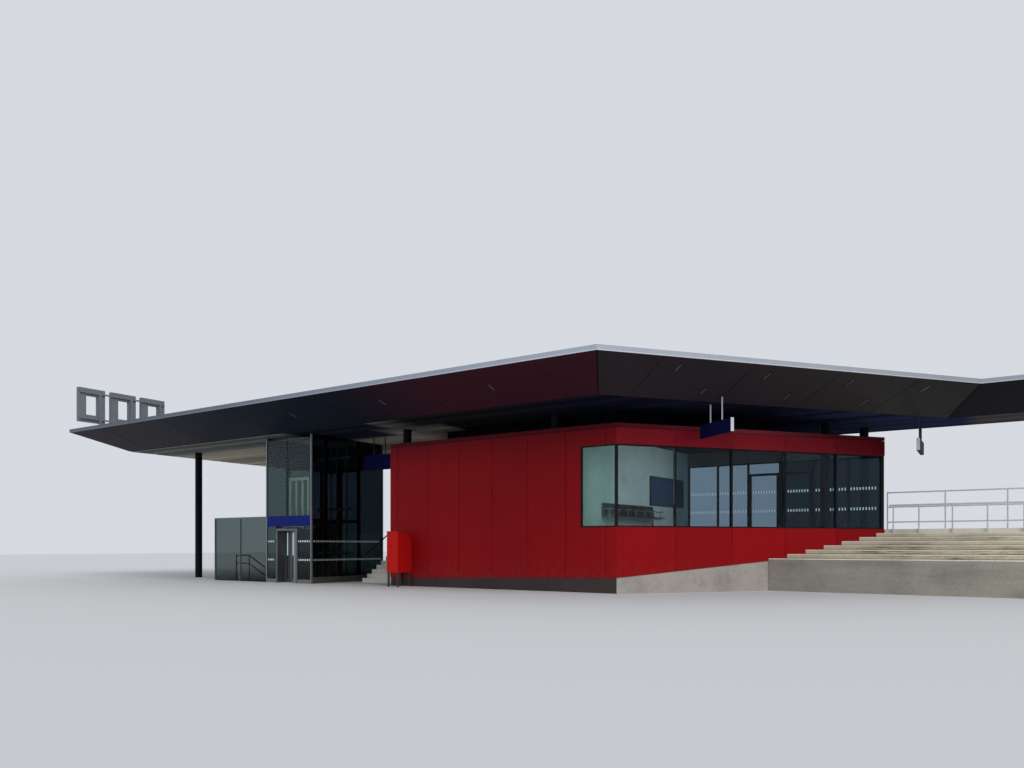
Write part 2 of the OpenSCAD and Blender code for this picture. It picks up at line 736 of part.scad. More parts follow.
module tower_base() at_site() color("#8c8b87") {
    y0 = tower_front + tower_post;
    y1 = tower_back - tower_post;
    block(tower_right - tower_base_t, tower_right, y0, y1, 0, tower_base_h);
    block(tower_left, tower_left + tower_base_t, y0, y1, 0, tower_base_h);
    block(tower_left + tower_post, tower_right - tower_post, y1, y1 + tower_post, 0, tower_base_h);
}

pane_in = (tower_post - glass_t) / 2;
pane_joint = 12;
module tower_panes() at_site() color("#5d7378") {
    y0 = tower_front + tower_post;
    y1 = tower_back - tower_post;
    x0 = tower_left + tower_post;
    x1 = tower_right - tower_post;
    for (x = [tower_left + pane_in, tower_right - pane_in - glass_t])
        block(x, x + glass_t, y0, y1, tower_base_h, ceiling_z);
    yf = tower_front + pane_in;
    block(x0, x1, y1 + pane_in, y1 + pane_in + glass_t, tower_base_h, ceiling_z);
    block(x0, portal_left, yf, yf + glass_t, 0, band_z);
    block(portal_right, x1, yf, yf + glass_t, 0, band_z);
    block(x0, tower_mid - pane_joint / 2, yf, yf + glass_t, band_top, ceiling_z);
    block(tower_mid + pane_joint / 2, x1, yf, yf + glass_t, band_top, ceiling_z);
}

module blue_band() at_site() color("#1d2c8f")
    block(tower_left + tower_post, tower_right - tower_post, tower_front, tower_front + band_t,
        band_z, band_top);

module lift_portal() at_site() color("#9ba09f") difference() {
    block(portal_left, portal_right, tower_front, tower_front + portal_d, 0, portal_top);
    block(door_left, door_right, tower_front - cut, tower_front + portal_d + cut, -cut, door_h);
}

// Sliding leaves: each hangs by two hooks that ride on a rail above the portal
leaf_y = tower_front + portal_d + leaf_gap;
leaf_w = door_w / 2 + leaf_lap - leaf_gap / 2;
leaf_floor = 12;
leaf_top = door_h + leaf_lap;
leaf_travel = door_w / 2 + leaf_gap / 2;
rail_bar_t = 12;
rail_bar_h = 40;
rail_bar_y = leaf_y + leaf_t / 2 - rail_bar_t / 2;
rail_bar_z = leaf_top + 30;
hook_w = 80;
hook_inset = 60;
hook_wall = 6;
hook_space = 8;
hook_base = 10;
hook_top = rail_bar_z + rail_bar_h + seat;
slit_t = 10;
slit_share = [0.29, 0.86];
function slit_x(x0, k) = x0 + leaf_w * slit_share[k] - slit_w / 2;

module leaf(x0) {
    difference() {
        block(x0, x0 + leaf_w, leaf_y, leaf_y + leaf_t, leaf_floor, leaf_top);
        for (k = [0, 1]) block(slit_x(x0, k), slit_x(x0, k) + slit_w, leaf_y - cut,
            leaf_y + leaf_t + cut, slit_z, slit_z + slit_h);
    }
    for (x = [x0 + hook_inset, x0 + leaf_w - hook_inset - hook_w]) difference() {
        block(x, x + hook_w, leaf_y, leaf_y + leaf_t, leaf_top, hook_top + hook_wall);
        block(x - cut, x + hook_w + cut, rail_bar_y - hook_space,
            rail_bar_y + rail_bar_t + hook_space, leaf_top + hook_base, hook_top);
    }
}
module leaf_panes(x0) for (k = [0, 1])
    translate([slit_x(x0, k), leaf_y + (leaf_t - slit_t) / 2, slit_z]) cube([slit_w, slit_t, slit_h]);

left_x = tower_mid - leaf_gap / 2 - leaf_w;
right_x = tower_mid + leaf_gap / 2;
module left_leaf() at_site() color("#a5aaa9") leaf(left_x);
module left_leaf_panes() at_site() color("#39464a") leaf_panes(left_x);
module right_leaf() at_site() color("#a5aaa9") leaf(right_x);
module right_leaf_panes() at_site() color("#39464a") leaf_panes(right_x);

// Rail on two brackets, hung from a plate that two studs on the portal carry
rail_over = 40;
bracket_w = 30;
stud_w = 60;
plate_gap = 20;
plate_z = rail_bar_z + 90;
plate_top = rail_bar_z + 160;
plate_back = leaf_y + leaf_t + 60;
module door_rail() at_site() color("#7c8284") {
    x0 = left_x - leaf_travel - rail_over;
    x1 = right_x + leaf_w + leaf_travel + rail_over;
    y0 = tower_front + portal_d - stud_w;
    block(x0, x1, rail_bar_y, rail_bar_y + rail_bar_t, rail_bar_z, rail_bar_z + rail_bar_h);
    for (x = [x0, x1 - bracket_w])
        block(x, x + bracket_w, rail_bar_y, plate_back, rail_bar_z, plate_top);
    block(x0, x1, leaf_y + leaf_t + plate_gap, plate_back, plate_z, plate_top);
    block(portal_left, portal_right, y0, plate_back, plate_z, plate_top);
    for (x = [portal_left, portal_right - stud_w])
        block(x, x + stud_w, y0, y0 + stud_w, portal_top, plate_z);
}

// Guide posts and head beams of the lift shaft
shaft_post = 120;
shaft_gap = 180;
shaft_start = 900;
shaft_depth = 1900;
shaft_beam_up = 190;
shaft_beam_drops = [1300, 800];
shaft_rows = [tower_front + shaft_start, tower_front + shaft_start + shaft_depth];
shaft_beams = concat([band_z + shaft_beam_up], [for (d = shaft_beam_drops) ceiling_z - d]);
module shaft_frame() at_site() color("#2b2f31") {
    for (x = [tower_left + shaft_gap, tower_right - shaft_gap - shaft_post], y = shaft_rows)
        post_at(x, y, 0, ceiling_z, shaft_post);
    for (y = shaft_rows, z = shaft_beams)
        block(tower_left + shaft_gap, tower_right - shaft_gap, y, y + shaft_post, z, z + shaft_post);
}

// Stair screen beside the lift tower
screen_mid = (screen_left + tower_left) / 2;
screen_rows = [tower_front, tower_back - screen_post];
module screen_frame() at_site() color("#b4b8ba") for (y = screen_rows) {
    for (x = [screen_left, screen_mid]) post_at(x, y, 0, screen_h, screen_post);
    block(screen_left + screen_post, screen_mid, y, y + screen_post, screen_h - screen_post, screen_h);
    block(screen_mid + screen_post, tower_left, y, y + screen_post, screen_h - screen_post, screen_h);
}

module screen_panes() at_site() color("#7f9c98") for (y = screen_rows) {
    yp = y + (screen_post - glass_t) / 2;
    block(screen_left + screen_post, screen_mid, yp, yp + glass_t, 0, screen_h - screen_post);
    block(screen_mid + screen_post, tower_left, yp, yp + glass_t, 0, screen_h - screen_post);
}

// Two handrails on each side of the underpass stair, falling towards the tower
handrail_inset = 160;
handrail_step = 340;
handrail_end = 80;
bracket_d = 20;
module underpass_handrails() at_site() color("#2d3133") for (side = [-1, 1]) {
    y_screen = (tower_front + tower_back) / 2 + side * ((tower_back - tower_front) / 2 - screen_post);
    y = y_screen - side * (handrail_inset - screen_post);
    x0 = screen_mid + screen_post / 2;
    x1 = tower_left - handrail_end;
    drop = (x1 - fall_x) * fall_slope;
    for (h = [underpass_rail_h, underpass_rail_h - handrail_step]) {
        rod([x0, y, h], [x0, y_screen, h], bracket_d);
        rod([newel_x, y, h], [fall_x, y, h], rail_d);
        rod([fall_x, y, h], [x1, y, h - drop], rail_d);
        for (p = [[newel_x, y, h], [fall_x, y, h], [x1, y, h - drop]]) knuckle(p, rail_d);
    }
    rod([newel_x, y, 0], [newel_x, y, underpass_rail_h], post_d);
    rod([fall_x, y, 0], [fall_x, y, underpass_rail_h], post_d);
    rod([x1, y, 0], [x1, y, underpass_rail_h - drop], post_d);
}

// Hanging signs: plain boxes, each on two rods
sign_rod_d = 50;
sign_rod_x = 320;
sign_outset = 45;
wing_sign_y = room_back + 200;
hall_sign_gap = 560;
hall_sign_back = 520;
// Height of the soffit's underside at a distance outside the ceiling edge
function under_soffit(off) = ceiling_z + soffit_rise * max(0, off) / edge_band[1];
// Each sign: place, turn, top, height, tops of its two rods
signs = [
    [[sign_along * cos(turn) + sign_outset * sin(turn),
        sign_along * sin(turn) - sign_outset * cos(turn), 0], turn - 90, sign_top, sign_h,
        [ceiling_z, under_soffit(sign_outset + sign_rod_x - sign_rod_d / 2)]],
    [[oblique_at(wing_sign_y, 0) - sign_rod_x, wing_sign_y, 0], 90, wing_sign_top, sign_h,
        [ceiling_z, ceiling_z]],
    [[tower_right + sign_len / 2 + hall_sign_gap, hall_front + hall_sign_back, 0], 0,
        hall_sign_top, hall_sign_h, [ceiling_z, ceiling_z]]
];
module hanging_signs() at_site() color("#1d2c8f")
    for (s = signs) translate(s[0]) rotate([0, 0, s[1]])
        translate([-sign_len / 2, -sign_t / 2, s[2] - s[3]]) cube([sign_len, sign_t, s[3]]);
module sign_rods() at_site() color("#b4b8ba")
    for (s = signs, k = [0, 1]) translate(s[0]) rotate([0, 0, s[1]])
        translate([(2 * k - 1) * sign_rod_x, 0, s[2]]) cylinder(d = sign_rod_d, h = s[4][k] - s[2]);

// Rooftop sign: blank boxes on two rails and posts, at the roof's left end
roof_sign_out = 400;
roof_sign_start = 60;
roof_rail = 70;
roof_rail_inset = 40;
roof_rail_low = 120;
roof_rail_high = roof_box_h - 240;
roof_post_w = 100;
roof_post_inset = 300;
module rooftop_sign() at_site() color("#8b9094") {
    x0 = -ceiling_len - roof_sign_out;
    y0 = -band_w + roof_sign_start;
    z0 = deck_z + deck_t + roof_box_lift;
    y1 = y0 + (roof_boxes - 1) * roof_box_gap + roof_box_w;
    for (k = [0 : roof_boxes - 1]) difference() {
        y = y0 + k * roof_box_gap;
        block(x0 - roof_box_t, x0, y, y + roof_box_w, z0, z0 + roof_box_h);
        block(x0 - roof_box_t - cut, x0 + cut, y + roof_box_rim, y + roof_box_w - roof_box_rim,
            z0 + roof_box_rim, z0 + roof_box_h - roof_box_rim);
    }
    for (z = [z0 + roof_rail_low, z0 + roof_rail_high])
        block(x0, x0 + roof_rail, y0 + roof_rail_inset, y1 - roof_rail_inset, z, z + roof_rail);
    for (k = [0 : roof_boxes - 1]) {
        y = y0 + k * roof_box_gap + roof_box_w - roof_post_inset;
        block(x0, x0 + roof_rail, y, y + roof_post_w, deck_z + deck_t, z0 + roof_rail_high);
    }
}

// Cabinet on the front wall's left end: its top falls towards the wall, and four legs carry it
cabinet_lid = 25;
cabinet_lip = 15;
module wall_cabinet() at_site() color("#c8281f") {
    y0 = room_front - cabinet_t;
    z0 = cabinet_foot;
    z1 = cabinet_foot + cabinet_h;
    translate([room_left + cabinet_x, 0, 0]) rotate([90, 0, 90]) linear_extrude(cabinet_w)
        polygon([[y0, z0], [room_front, z0], [room_front, z1 - cabinet_fall], [y0, z1]]);
    translate([room_left + cabinet_x - cabinet_lip, 0, 0]) rotate([90, 0, 90])
        linear_extrude(cabinet_w + 2 * cabinet_lip)
            polygon([[y0 - cabinet_lip, z1], [room_front, z1 - cabinet_fall],
                [room_front, z1 - cabinet_fall + cabinet_lid], [y0 - cabinet_lip, z1 + cabinet_lid]]);
}
module cabinet_legs() at_site() color("#6b6d6e") {
    x0 = room_left + cabinet_x;
    y0 = room_front - cabinet_t;
    for (x = [x0 + cabinet_lip, x0 + cabinet_w - cabinet_leg - cabinet_lip],
        y = [y0 + cabinet_lip, room_front - cabinet_leg - cabinet_lip])
        post_at(x, y, 0, cabinet_foot, cabinet_leg);
}

roof_deck();
fascia();
soffit_front();
soffit_oblique();
soffit_wing();
soffit_right_end();
soffit_rear();
soffit_left_end();
slat_ceiling();
roof_frame();
front_columns();
rear_columns();
front_wall();
oblique_base();
platform_base();
rear_wall();
lintels();
side_wall();
inner_wall();
room_floor();
room_roof();
roof_core();
plinth();
coping();
front_panels();
oblique_panels();
side_panels();
rear_panels();
front_frame();
oblique_frame();
window_panes();
platform_frames();
platform_panes();
bench();
platform_deck();
platform_walls();
wide_stair();
step_railing();
platform_railing();
hall_stair();
hall_railing();
tower_posts();
tower_base();
tower_panes();
blue_band();
lift_portal();
door_rail();
left_leaf();
right_leaf();
left_leaf_panes();
right_leaf_panes();
shaft_frame();
screen_frame();
screen_panes();
underpass_handrails();
hanging_signs();
sign_rods();
rooftop_sign();
wall_cabinet();
cabinet_legs();
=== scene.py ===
import math

import bpy
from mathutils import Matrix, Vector


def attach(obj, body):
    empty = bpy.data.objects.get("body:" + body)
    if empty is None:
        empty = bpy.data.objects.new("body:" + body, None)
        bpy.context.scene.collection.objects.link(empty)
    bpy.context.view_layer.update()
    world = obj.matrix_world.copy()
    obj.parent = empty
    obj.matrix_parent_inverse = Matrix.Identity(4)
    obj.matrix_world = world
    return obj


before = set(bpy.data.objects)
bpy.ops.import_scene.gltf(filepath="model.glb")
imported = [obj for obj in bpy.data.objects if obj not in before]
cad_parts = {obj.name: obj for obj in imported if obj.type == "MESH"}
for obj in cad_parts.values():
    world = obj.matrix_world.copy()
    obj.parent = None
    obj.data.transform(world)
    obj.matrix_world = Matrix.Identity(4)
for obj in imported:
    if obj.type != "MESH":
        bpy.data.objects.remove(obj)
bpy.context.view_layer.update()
BODY = "building"

# Axes for the shaders, and directions
X, Y, Z = 0, 1, 2
RIGHT = Vector((1, 0, 0))
BACK = Vector((0, 1, 0))
UP = Vector((0, 0, 1))

# Plan of the roof, in metres from the front ceiling corner; the row frame is shifted by SHIFT
SHIFT = Vector((6.25, -6.25, 0))
TURN = math.radians(50.7)
ALONG = Vector((math.cos(TURN), math.sin(TURN), 0))
OUT = Vector((math.sin(TURN), -math.cos(TURN), 0))
CEILING_Z = 6.0
FLOOR_Z = 2.1
SOFFIT_W = 2.17
SOFFIT_RISE = 0.7
FASCIA_FOOT = CEILING_Z + SOFFIT_RISE
FASCIA_TOP = 6.85
HALF_ROOF = 19.55
# Corner of the ceiling where the wing begins
WING_CORNER = (8.505, 10.39)
# Front end of the oblique wall
WALL_START = (-0.08, 1.44)
# Corners of the roof's edge; the oblique eave runs from the second to the third
ROOF = [(-25.8, -2.2), (1.042, -2.2), (9.547, 8.19), (13.3, 8.19), (13.3, 14.7), (-25.8, 14.7)]

# In the row frame: front end of the oblique wall, and foot and direction of the inner wall
OBLIQUE_START = (WALL_START[0] + SHIFT.x, WALL_START[1] + SHIFT.y)
BENCH_FOOT = (4.86, -4.61)
BENCH_TURN = math.radians(84.19)

# Wide steps: number, front of the lowest, its top, tread and riser
WIDE_STEPS = 7
WIDE_FRONT = 5.8
WIDE_FIRST = 1.08
WIDE_TREAD = 0.585
WIDE_RISER = 0.146


def place(x, y, z):
    """A point given from the front ceiling corner, in the row frame."""
    return Vector((x, y, z)) + SHIFT


# Shader helpers
class Nodes:
    """Makes nodes in one tree."""

    def __init__(self, tree):
        self.tree = tree
        tree.nodes.clear()

    def node(self, kind, **props):
        n = self.tree.nodes.new(kind)
        for k, v in props.items():
            setattr(n, k, v)
        return n

    def link(self, a, b):
        self.tree.links.new(a, b)

    def feed(self, socket, v):
        """Give an input a number, a colour or the output of another node."""
        if isinstance(v, (int, float)):
            socket.default_value = v
        elif isinstance(v, tuple):
            socket.default_value = (*v, 1)
        else:
            self.link(v, socket)

    def math(self, op, a, b=0.0, clamp=False):
        m = self.node("ShaderNodeMath", operation=op, use_clamp=clamp)
        self.feed(m.inputs[0], a)
        self.feed(m.inputs[1], b)
        return m.outputs[0]


class Shader(Nodes):
    """A material in object coordinates, which are the row frame's metres."""

    def __init__(self, name, colour, rough, metal=0.0):
        self.mat = bpy.data.materials.new(name)
        self.mat.use_nodes = True
        super().__init__(self.mat.node_tree)
        out = self.node("ShaderNodeOutputMaterial")
        self.bsdf = self.node("ShaderNodeBsdfPrincipled")
        self.link(self.bsdf.outputs[0], out.inputs[0])
        self.set("Base Color", (*colour, 1))
        self.set("Roughness", rough)
        self.set("Metallic", metal)
        self.coord = self.node("ShaderNodeTexCoord").outputs["Object"]
        self.tone = None
        self.height = None

    def set(self, name, value):
        self.bsdf.inputs[name].default_value = value

    def mapped(self, scale=(1, 1, 1), turn=0.0):
        m = self.node("ShaderNodeMapping")
        m.inputs["Rotation"].default_value = (0, 0, turn)
        m.inputs["Scale"].default_value = scale
        self.link(self.coord, m.inputs["Vector"])
        return m.outputs[0]

    def noise(self, scale, detail=4, rough=0.55, vector=None, distort=0.0):
        n = self.node("ShaderNodeTexNoise")
        n.inputs["Scale"].default_value = scale
        n.inputs["Detail"].default_value = detail
        n.inputs["Roughness"].default_value = rough
        n.inputs["Distortion"].default_value = distort
        self.link(vector if vector is not None else self.coord, n.inputs["Vector"])
        return n.outputs["Fac"]

    def ramp(self, fac, stops):
        r = self.node("ShaderNodeValToRGB")
        r.color_ramp.elements[0].position = stops[0][0]
        r.color_ramp.elements[1].position = stops[-1][0]
        for p, _ in stops[1:-1]:
            r.color_ramp.elements.new(p)
        for e, (p, c) in zip(r.color_ramp.elements, stops):
            e.position = p
            e.color = (*c, 1)
        self.link(fac, r.inputs[0])
        return r.outputs[0]

    def value(self, fac, low, high, f0=0.3, f1=0.7):
        """From low to high while fac goes from f0 to f1."""
        m = self.node("ShaderNodeMapRange")
        m.inputs["From Min"].default_value = f0
        m.inputs["From Max"].default_value = f1
        m.inputs["To Min"].default_value = low
        m.inputs["To Max"].default_value = high
        self.link(fac, m.inputs["Value"])
        return m.outputs[0]

    def mix(self, fac, a, b, mode="MIX"):
        m = self.node("ShaderNodeMix", data_type="RGBA", blend_type=mode)
        for socket, v in (("Factor", fac), ("A", a), ("B", b)):
            self.feed(m.inputs[socket], v)
        return m.outputs["Result"]

    def axis(self, i):
        s = self.node("ShaderNodeSeparateXYZ")
        self.link(self.coord, s.inputs[0])
        return s.outputs[i]

    def rise(self, i, start, end):
        """0 up to start and 1 from end on, along an axis."""
        return self.value(self.axis(i), 0.0, 1.0, start, end)

    def fall(self, i, start, end):
        """1 up to start and 0 from end on, along an axis."""
        return self.value(self.axis(i), 1.0, 0.0, start, end)

    def past(self, i, edge, soft=0.004):
        return self.rise(i, edge - soft, edge + soft)

    def run(self, angle, x, y):
        """Distance in plan along a direction, from the point (x, y)."""
        c, d = math.cos(angle), math.sin(angle)
        across, deep = self.math("MULTIPLY", self.axis(X), c), self.math("MULTIPLY", self.axis(Y), d)
        return self.math("SUBTRACT", self.math("ADD", across, deep), x * c + y * d)

    def lines(self, fac, pitch, width):
        """Mask of lines at every whole pitch."""
        part = self.math("FRACT", self.math("ADD", self.math("DIVIDE", fac, pitch), 0.5))
        off = self.math("ABSOLUTE", self.math("SUBTRACT", part, 0.5))
        return self.value(off, 1.0, 0.0, 0.5 * width / pitch, 0.75 * width / pitch)

    def cells(self, fac, pitch, low, high):
        """One even grey for each cell of that pitch."""
        cell = self.math("FLOOR", self.math("DIVIDE", fac, pitch))
        n = self.node("ShaderNodeTexWhiteNoise", noise_dimensions="1D")
        self.link(cell, n.inputs["W"])
        return self.value(n.outputs["Value"], low, high, 0.0, 1.0)

    def patch(self, x, z, rx, rz):
        """Soft oval in front view."""
        dx = self.math("DIVIDE", self.math("SUBTRACT", self.axis(X), x), rx)
        dz = self.math("DIVIDE", self.math("SUBTRACT", self.axis(Z), z), rz)
        far = self.math("ADD", self.math("MULTIPLY", dx, dx), self.math("MULTIPLY", dz, dz))
        return self.value(far, 1.0, 0.0, 0.3, 1.0)

    def colour(self, socket):
        self.tone = socket
        self.link(socket, self.bsdf.inputs["Base Color"])

    def over(self, mask, colour):
        """Lay a colour over the tone where the mask is 1."""
        self.colour(self.mix(mask, self.tone, colour))

    def turns(self, i, *stages):
        """Along an axis, turn to each stage's colour between its start and its end."""
        for start, end, colour in stages:
            self.over(self.rise(i, start, end), colour)

    def times(self, socket):
        self.colour(self.mix(1.0, self.tone, socket, "MULTIPLY"))

    def shade(self, i, start, end, stops):
        """Multiply the tone by a ramp that runs from start to end of an axis."""
        self.times(self.ramp(self.rise(i, start, end), stops))

    def rough(self, socket):
        self.link(socket, self.bsdf.inputs["Roughness"])

    def glow(self, socket, strength):
        self.link(socket, self.bsdf.inputs["Emission Color"])
        self.set("Emission Strength", strength)

    def bump(self, socket, strength, distance):
        b = self.node("ShaderNodeBump")
        b.inputs["Strength"].default_value = strength
        b.inputs["Distance"].default_value = distance
        self.link(socket, b.inputs["Height"])
        if self.height is not None:
            self.link(self.height, b.inputs["Normal"])
        self.height = b.outputs[0]
        self.link(self.height, self.bsdf.inputs["Normal"])


def tint(colour, k):
    return tuple(min(1.0, c * k) for c in colour)


# Families of finishes
def painted(name, colour, rough=0.4, spread=0.12, scale=1.3, metal=0.0, spec=0.12, peel=0.04):
    """Coated sheet metal: broad shade changes, faint run-off streaks, fine orange peel."""
    s = Shader(name, colour, rough, metal)
    broad = s.noise(scale, 5)
    streak = s.noise(1.0, 3, vector=s.mapped((7, 7, 0.5)))
    both = s.math("ADD", s.math("MULTIPLY", broad, 0.6), s.math("MULTIPLY", streak, 0.4))
    s.colour(s.ramp(both, [(0.3, tint(colour, 1 - spread)), (0.5, colour), (0.72, tint(colour, 1 + spread))]))
    s.rough(s.value(s.noise(9, 3), rough - 0.06, rough + 0.08))
    s.set("Specular IOR Level", spec)
    if peel:
        s.bump(s.noise(160, 2), peel, 0.001)
    return s


def brushed(name, colour, rough=0.3, lengthwise=(60, 60, 1.5), metal=0.85):
    """Brushed steel with an upright grain."""
    s = Shader(name, colour, rough, metal)
    grain = s.noise(4, 4, vector=s.mapped(lengthwise))
    s.colour(s.ramp(grain, [(0.3, tint(colour, 0.86)), (0.7, tint(colour, 1.08))]))
    s.rough(s.value(grain, rough - 0.08, rough + 0.12))
    s.bump(grain, 0.06, 0.001)
    return s


def concrete(name, colour, stains=0.0):
    """Cast concrete: cloudy tone and fine grit, with dark and pale patches where it is stained."""
    s = Shader(name, colour, 0.85)
    broad = s.noise(0.7, 6, 0.6)
    fine = s.noise(26, 5, 0.65)
    s.colour(s.ramp(broad, [(0.28, tint(colour, 0.74)), (0.5, colour), (0.75, tint(colour, 1.14))]))
    s.times(s.ramp(fine, [(0.3, (0.78, 0.77, 0.75)), (0.7, (1.06, 1.06, 1.05))]))
    if stains:
        s.over(s.value(s.noise(1.6, 6, 0.7, distort=0.6), 0.0, stains, 0.52, 0.66), tint(colour, 0.42))
        pale = s.noise(2.3, 5, 0.7, vector=s.mapped((1, 1, 3), 0.4))
        s.over(s.value(pale, 0.0, 0.5, 0.6, 0.72), tint(colour, 1.3))
    s.rough(s.value(fine, 0.75, 0.95))
    s.set("Specular IOR Level", 0.25)
    s.bump(fine, 0.25, 0.004)
    s.bump(s.noise(130, 3), 0.15, 0.001)
    return s


def glazing(name, tone, rough, see=1.0, ior=1.22):
    """Window glass: mostly clear, tinted, and with a faint waviness."""
    s = Shader(name, tone, rough)
    s.set("IOR", ior)
    s.set("Transmission Weight", see)
    s.bump(s.noise(0.9, 2), 0.02, 0.02)
    return s


WHITE = (1.0, 1.0, 1.0)
RED = (0.285, 0.0034, 0.0060)
# Red walls: direction of each wall in plan, where its sheets begin, and the width of a sheet
FRONT_SHEETS = (0.0, 5.81, 0.0, 1.45)
OBLIQUE_SHEETS = (TURN, *OBLIQUE_START, 2.109)
SIDE_SHEETS = (math.pi / 2, 0.0, 3.35, 1.632)
# Heights between which the red walls carry painted shade and a painted sheen under the roof
SHADE_FOOT, SHADE_TOP = 3.9, 5.45
# Painted shade, with a bluish painted sheen, on most walls, from below
ROOF_SHADE = [
    (0.0, WHITE), (0.30, (0.96, 0.97, 1.0)), (0.55, (0.82, 0.9, 1.0)), (0.80, (0.62, 0.8, 1.0)),
    (1.0, (0.46, 0.7, 0.95)),
]
# Painted shade and a bluish-grey painted sheen on the oblique wall over its window, from below
WINDOW_SHADE_AND_SHEEN = [
    (0.0, WHITE), (0.52, WHITE), (0.54, (1.04, 3.0, 3.3)), (0.84, (0.95, 2.9, 3.2)),
    (0.95, (0.62, 1.9, 2.3)), (1.0, (0.58, 1.8, 2.2)),
]


def red_panels(name, sheets, shade=ROOF_SHADE):
    """Red sheets, a little different from sheet to sheet, with painted shade and a bluish painted sheen under
    the roof, and dusty at the foot.
    """
    *start, pitch = sheets
    s = painted(name, RED, 0.42, 0.08, 0.7, spec=0.08)
    s.times(s.cells(s.run(*start), pitch, 0.92, 1.08))
    # Painted shade and painted sheen under the roof
    s.shade(Z, SHADE_FOOT, SHADE_TOP, shade)
    low = s.value(s.axis(Z), 0.30, 0.0, 0.3, 1.2)
    s.over(s.math("MULTIPLY", low, s.value(s.noise(5, 5), 0.0, 1.0, 0.42, 0.62)), (0.22, 0.05, 0.045))
    return s


def oblique_red():
    """Red sheets of the oblique wall: those over the window fall into shade towards the wing."""
    s = red_panels("red_panel_oblique", OBLIQUE_SHEETS, WINDOW_SHADE_AND_SHEEN)
    towards_wing = s.value(s.axis(X), 0.0, 0.6, 9.4, 12.8)
    s.over(s.math("MULTIPLY", towards_wing, s.rise(Z, 4.6, 4.8)), (0.0, 0.0, 0.0))
    return s


def red_coping():
    """Darker than the sheets as painted shade under the overhang; painted light in the middle of the oblique
    wall, and painted shade near the wing.
    """
    s = painted("red_coping", (0.085, 0.0040, 0.0075), 0.42, 0.08, 0.7, spec=0.06)
    # Painted light in the middle of the oblique wall, painted shade towards the wing
    s.turns(X, (6.0, 6.4, (0.120, 0.0100, 0.0170)), (7.0, 9.0, (0.225, 0.030, 0.047)),
            (9.6, 11.4, (0.078, 0.006, 0.010)))
    return s


# Roof
def ceiling_slats():
    """Painted light on the slats deep over the hall, painted deep shade over the room and the passage, and a
    bluish painted shade under the wing.
    """
    s = painted("ceiling_slats", (0.21, 0.21, 0.205), 0.6, 0.14, 0.9, spec=0.0)
    # Painted light on the slats further back over the hall
    s.turns(Y, (-4.4, -2.6, (0.58, 0.53, 0.43)))
    # Painted deep shade over the room
    front = s.math("MULTIPLY", s.rise(X, -3.6, -1.6), s.fall(Y, -4.9, -4.2))
    s.over(s.math("MAXIMUM", front, s.rise(X, -1.3, -0.8)), (0.018, 0.018, 0.022))
    # Painted shade over the passage
    deep = s.math("MULTIPLY", s.fall(X, -4.3, -3.7), s.fall(Y, -3.6, -3.0))
    edge = s.math("MULTIPLY", s.fall(X, -3.4, -2.9), s.fall(Y, -5.0, -4.5))
    passage = s.math("MULTIPLY", s.math("MAXIMUM", deep, edge), s.rise(X, -8.2, -7.4))
    s.over(passage, (0.018, 0.022, 0.035))
    # Painted shade over the right end of the room, bluish painted shade under the wing, and painted light at
    # the far end
    s.turns(X, (2.0, 5.0, (0.013, 0.015, 0.030)), (9.5, 12.5, (0.032, 0.042, 0.100)),
            (15.2, 15.7, (0.10, 0.09, 0.10)))
    s.times(s.cells(s.math("ADD", s.axis(Y), 0.05), 0.5, 0.55, 1.35))
    return s


def fascia_metal():
    """Painted light: the oblique and wing edges are painted lighter than the front edge."""
    s = painted("fascia_metal", WHITE, 0.38, 0.07, 0.8, 0.3, spec=0.3)
    s.shade(X, -HALF_ROOF, HALF_ROOF, [
        (0.0, (0.092, 0.095, 0.115)), (0.148, (0.098, 0.102, 0.122)), (0.276, (0.145, 0.154, 0.182)),
        (0.404, (0.236, 0.246, 0.285)), (0.532, (0.33, 0.35, 0.39)), (0.66, (0.42, 0.44, 0.475)),
        (0.685, (0.43, 0.45, 0.485)), (0.687, (0.46, 0.48, 0.52)), (0.80, (0.45, 0.47, 0.50)),
        (0.88, (0.38, 0.40, 0.43)), (1.0, (0.38, 0.40, 0.43)),
    ])
    # Bands up the face: a paler lower lip and dark lines at the folds, partly painted highlight and painted
    # shadow
    s.shade(Z, FASCIA_FOOT, FASCIA_TOP, [
        (0.0, (1.42, 1.38, 1.34)), (0.19, (1.42, 1.38, 1.34)), (0.22, (0.84, 0.84, 0.84)),
        (0.27, (0.98, 0.98, 0.97)), (0.56, WHITE), (0.60, (0.86, 0.86, 0.87)), (0.65, (1.02, 1.02, 1.02)),
        (0.80, (0.98, 0.98, 1.0)), (1.0, (0.86, 0.87, 0.90)),
    ])
    return s


def soffit_paint(name, colour, spec=0.012):
    return painted(name, colour, 0.40, 0.12, 0.25, spec=spec, peel=0.0)


def dark_soffit():
    """Nearly black on the right, browner at the left end: painted light and shade along the eave."""
    s = soffit_paint("dark_soffit", (0.030, 0.028, 0.036))
    s.turns(X, (-14.0, -6.0, (0.013, 0.018, 0.028)), (4.0, 8.0, (0.017, 0.017, 0.021)))
    return s


def oblique_soffit():
    """Painted light where it comes near the wing, and painted shade beside the fold there."""
    s = soffit_paint("oblique_soffit", (0.034, 0.028, 0.034), 0.02)
    s.turns(X, (9.5, 12.0, (0.045, 0.039, 0.040)), (12.6, 15.0, (0.021, 0.021, 0.024)))
    return s


def front_soffit():
    """Painted light and shade along the eave, with a painted red sheen from the wall below on the part over
    the room.
    """
    s = soffit_paint("front_soffit", WHITE)
    s.shade(X, -20.0, 8.0, [
        (0.0, (0.034, 0.030, 0.040)), (0.22, (0.033, 0.031, 0.042)), (0.46, (0.012, 0.020, 0.031)),
        (0.62, (0.015, 0.017, 0.028)), (0.76, (0.050, 0.0155, 0.025)), (1.0, (0.050, 0.0155, 0.025)),
    ])
    return s


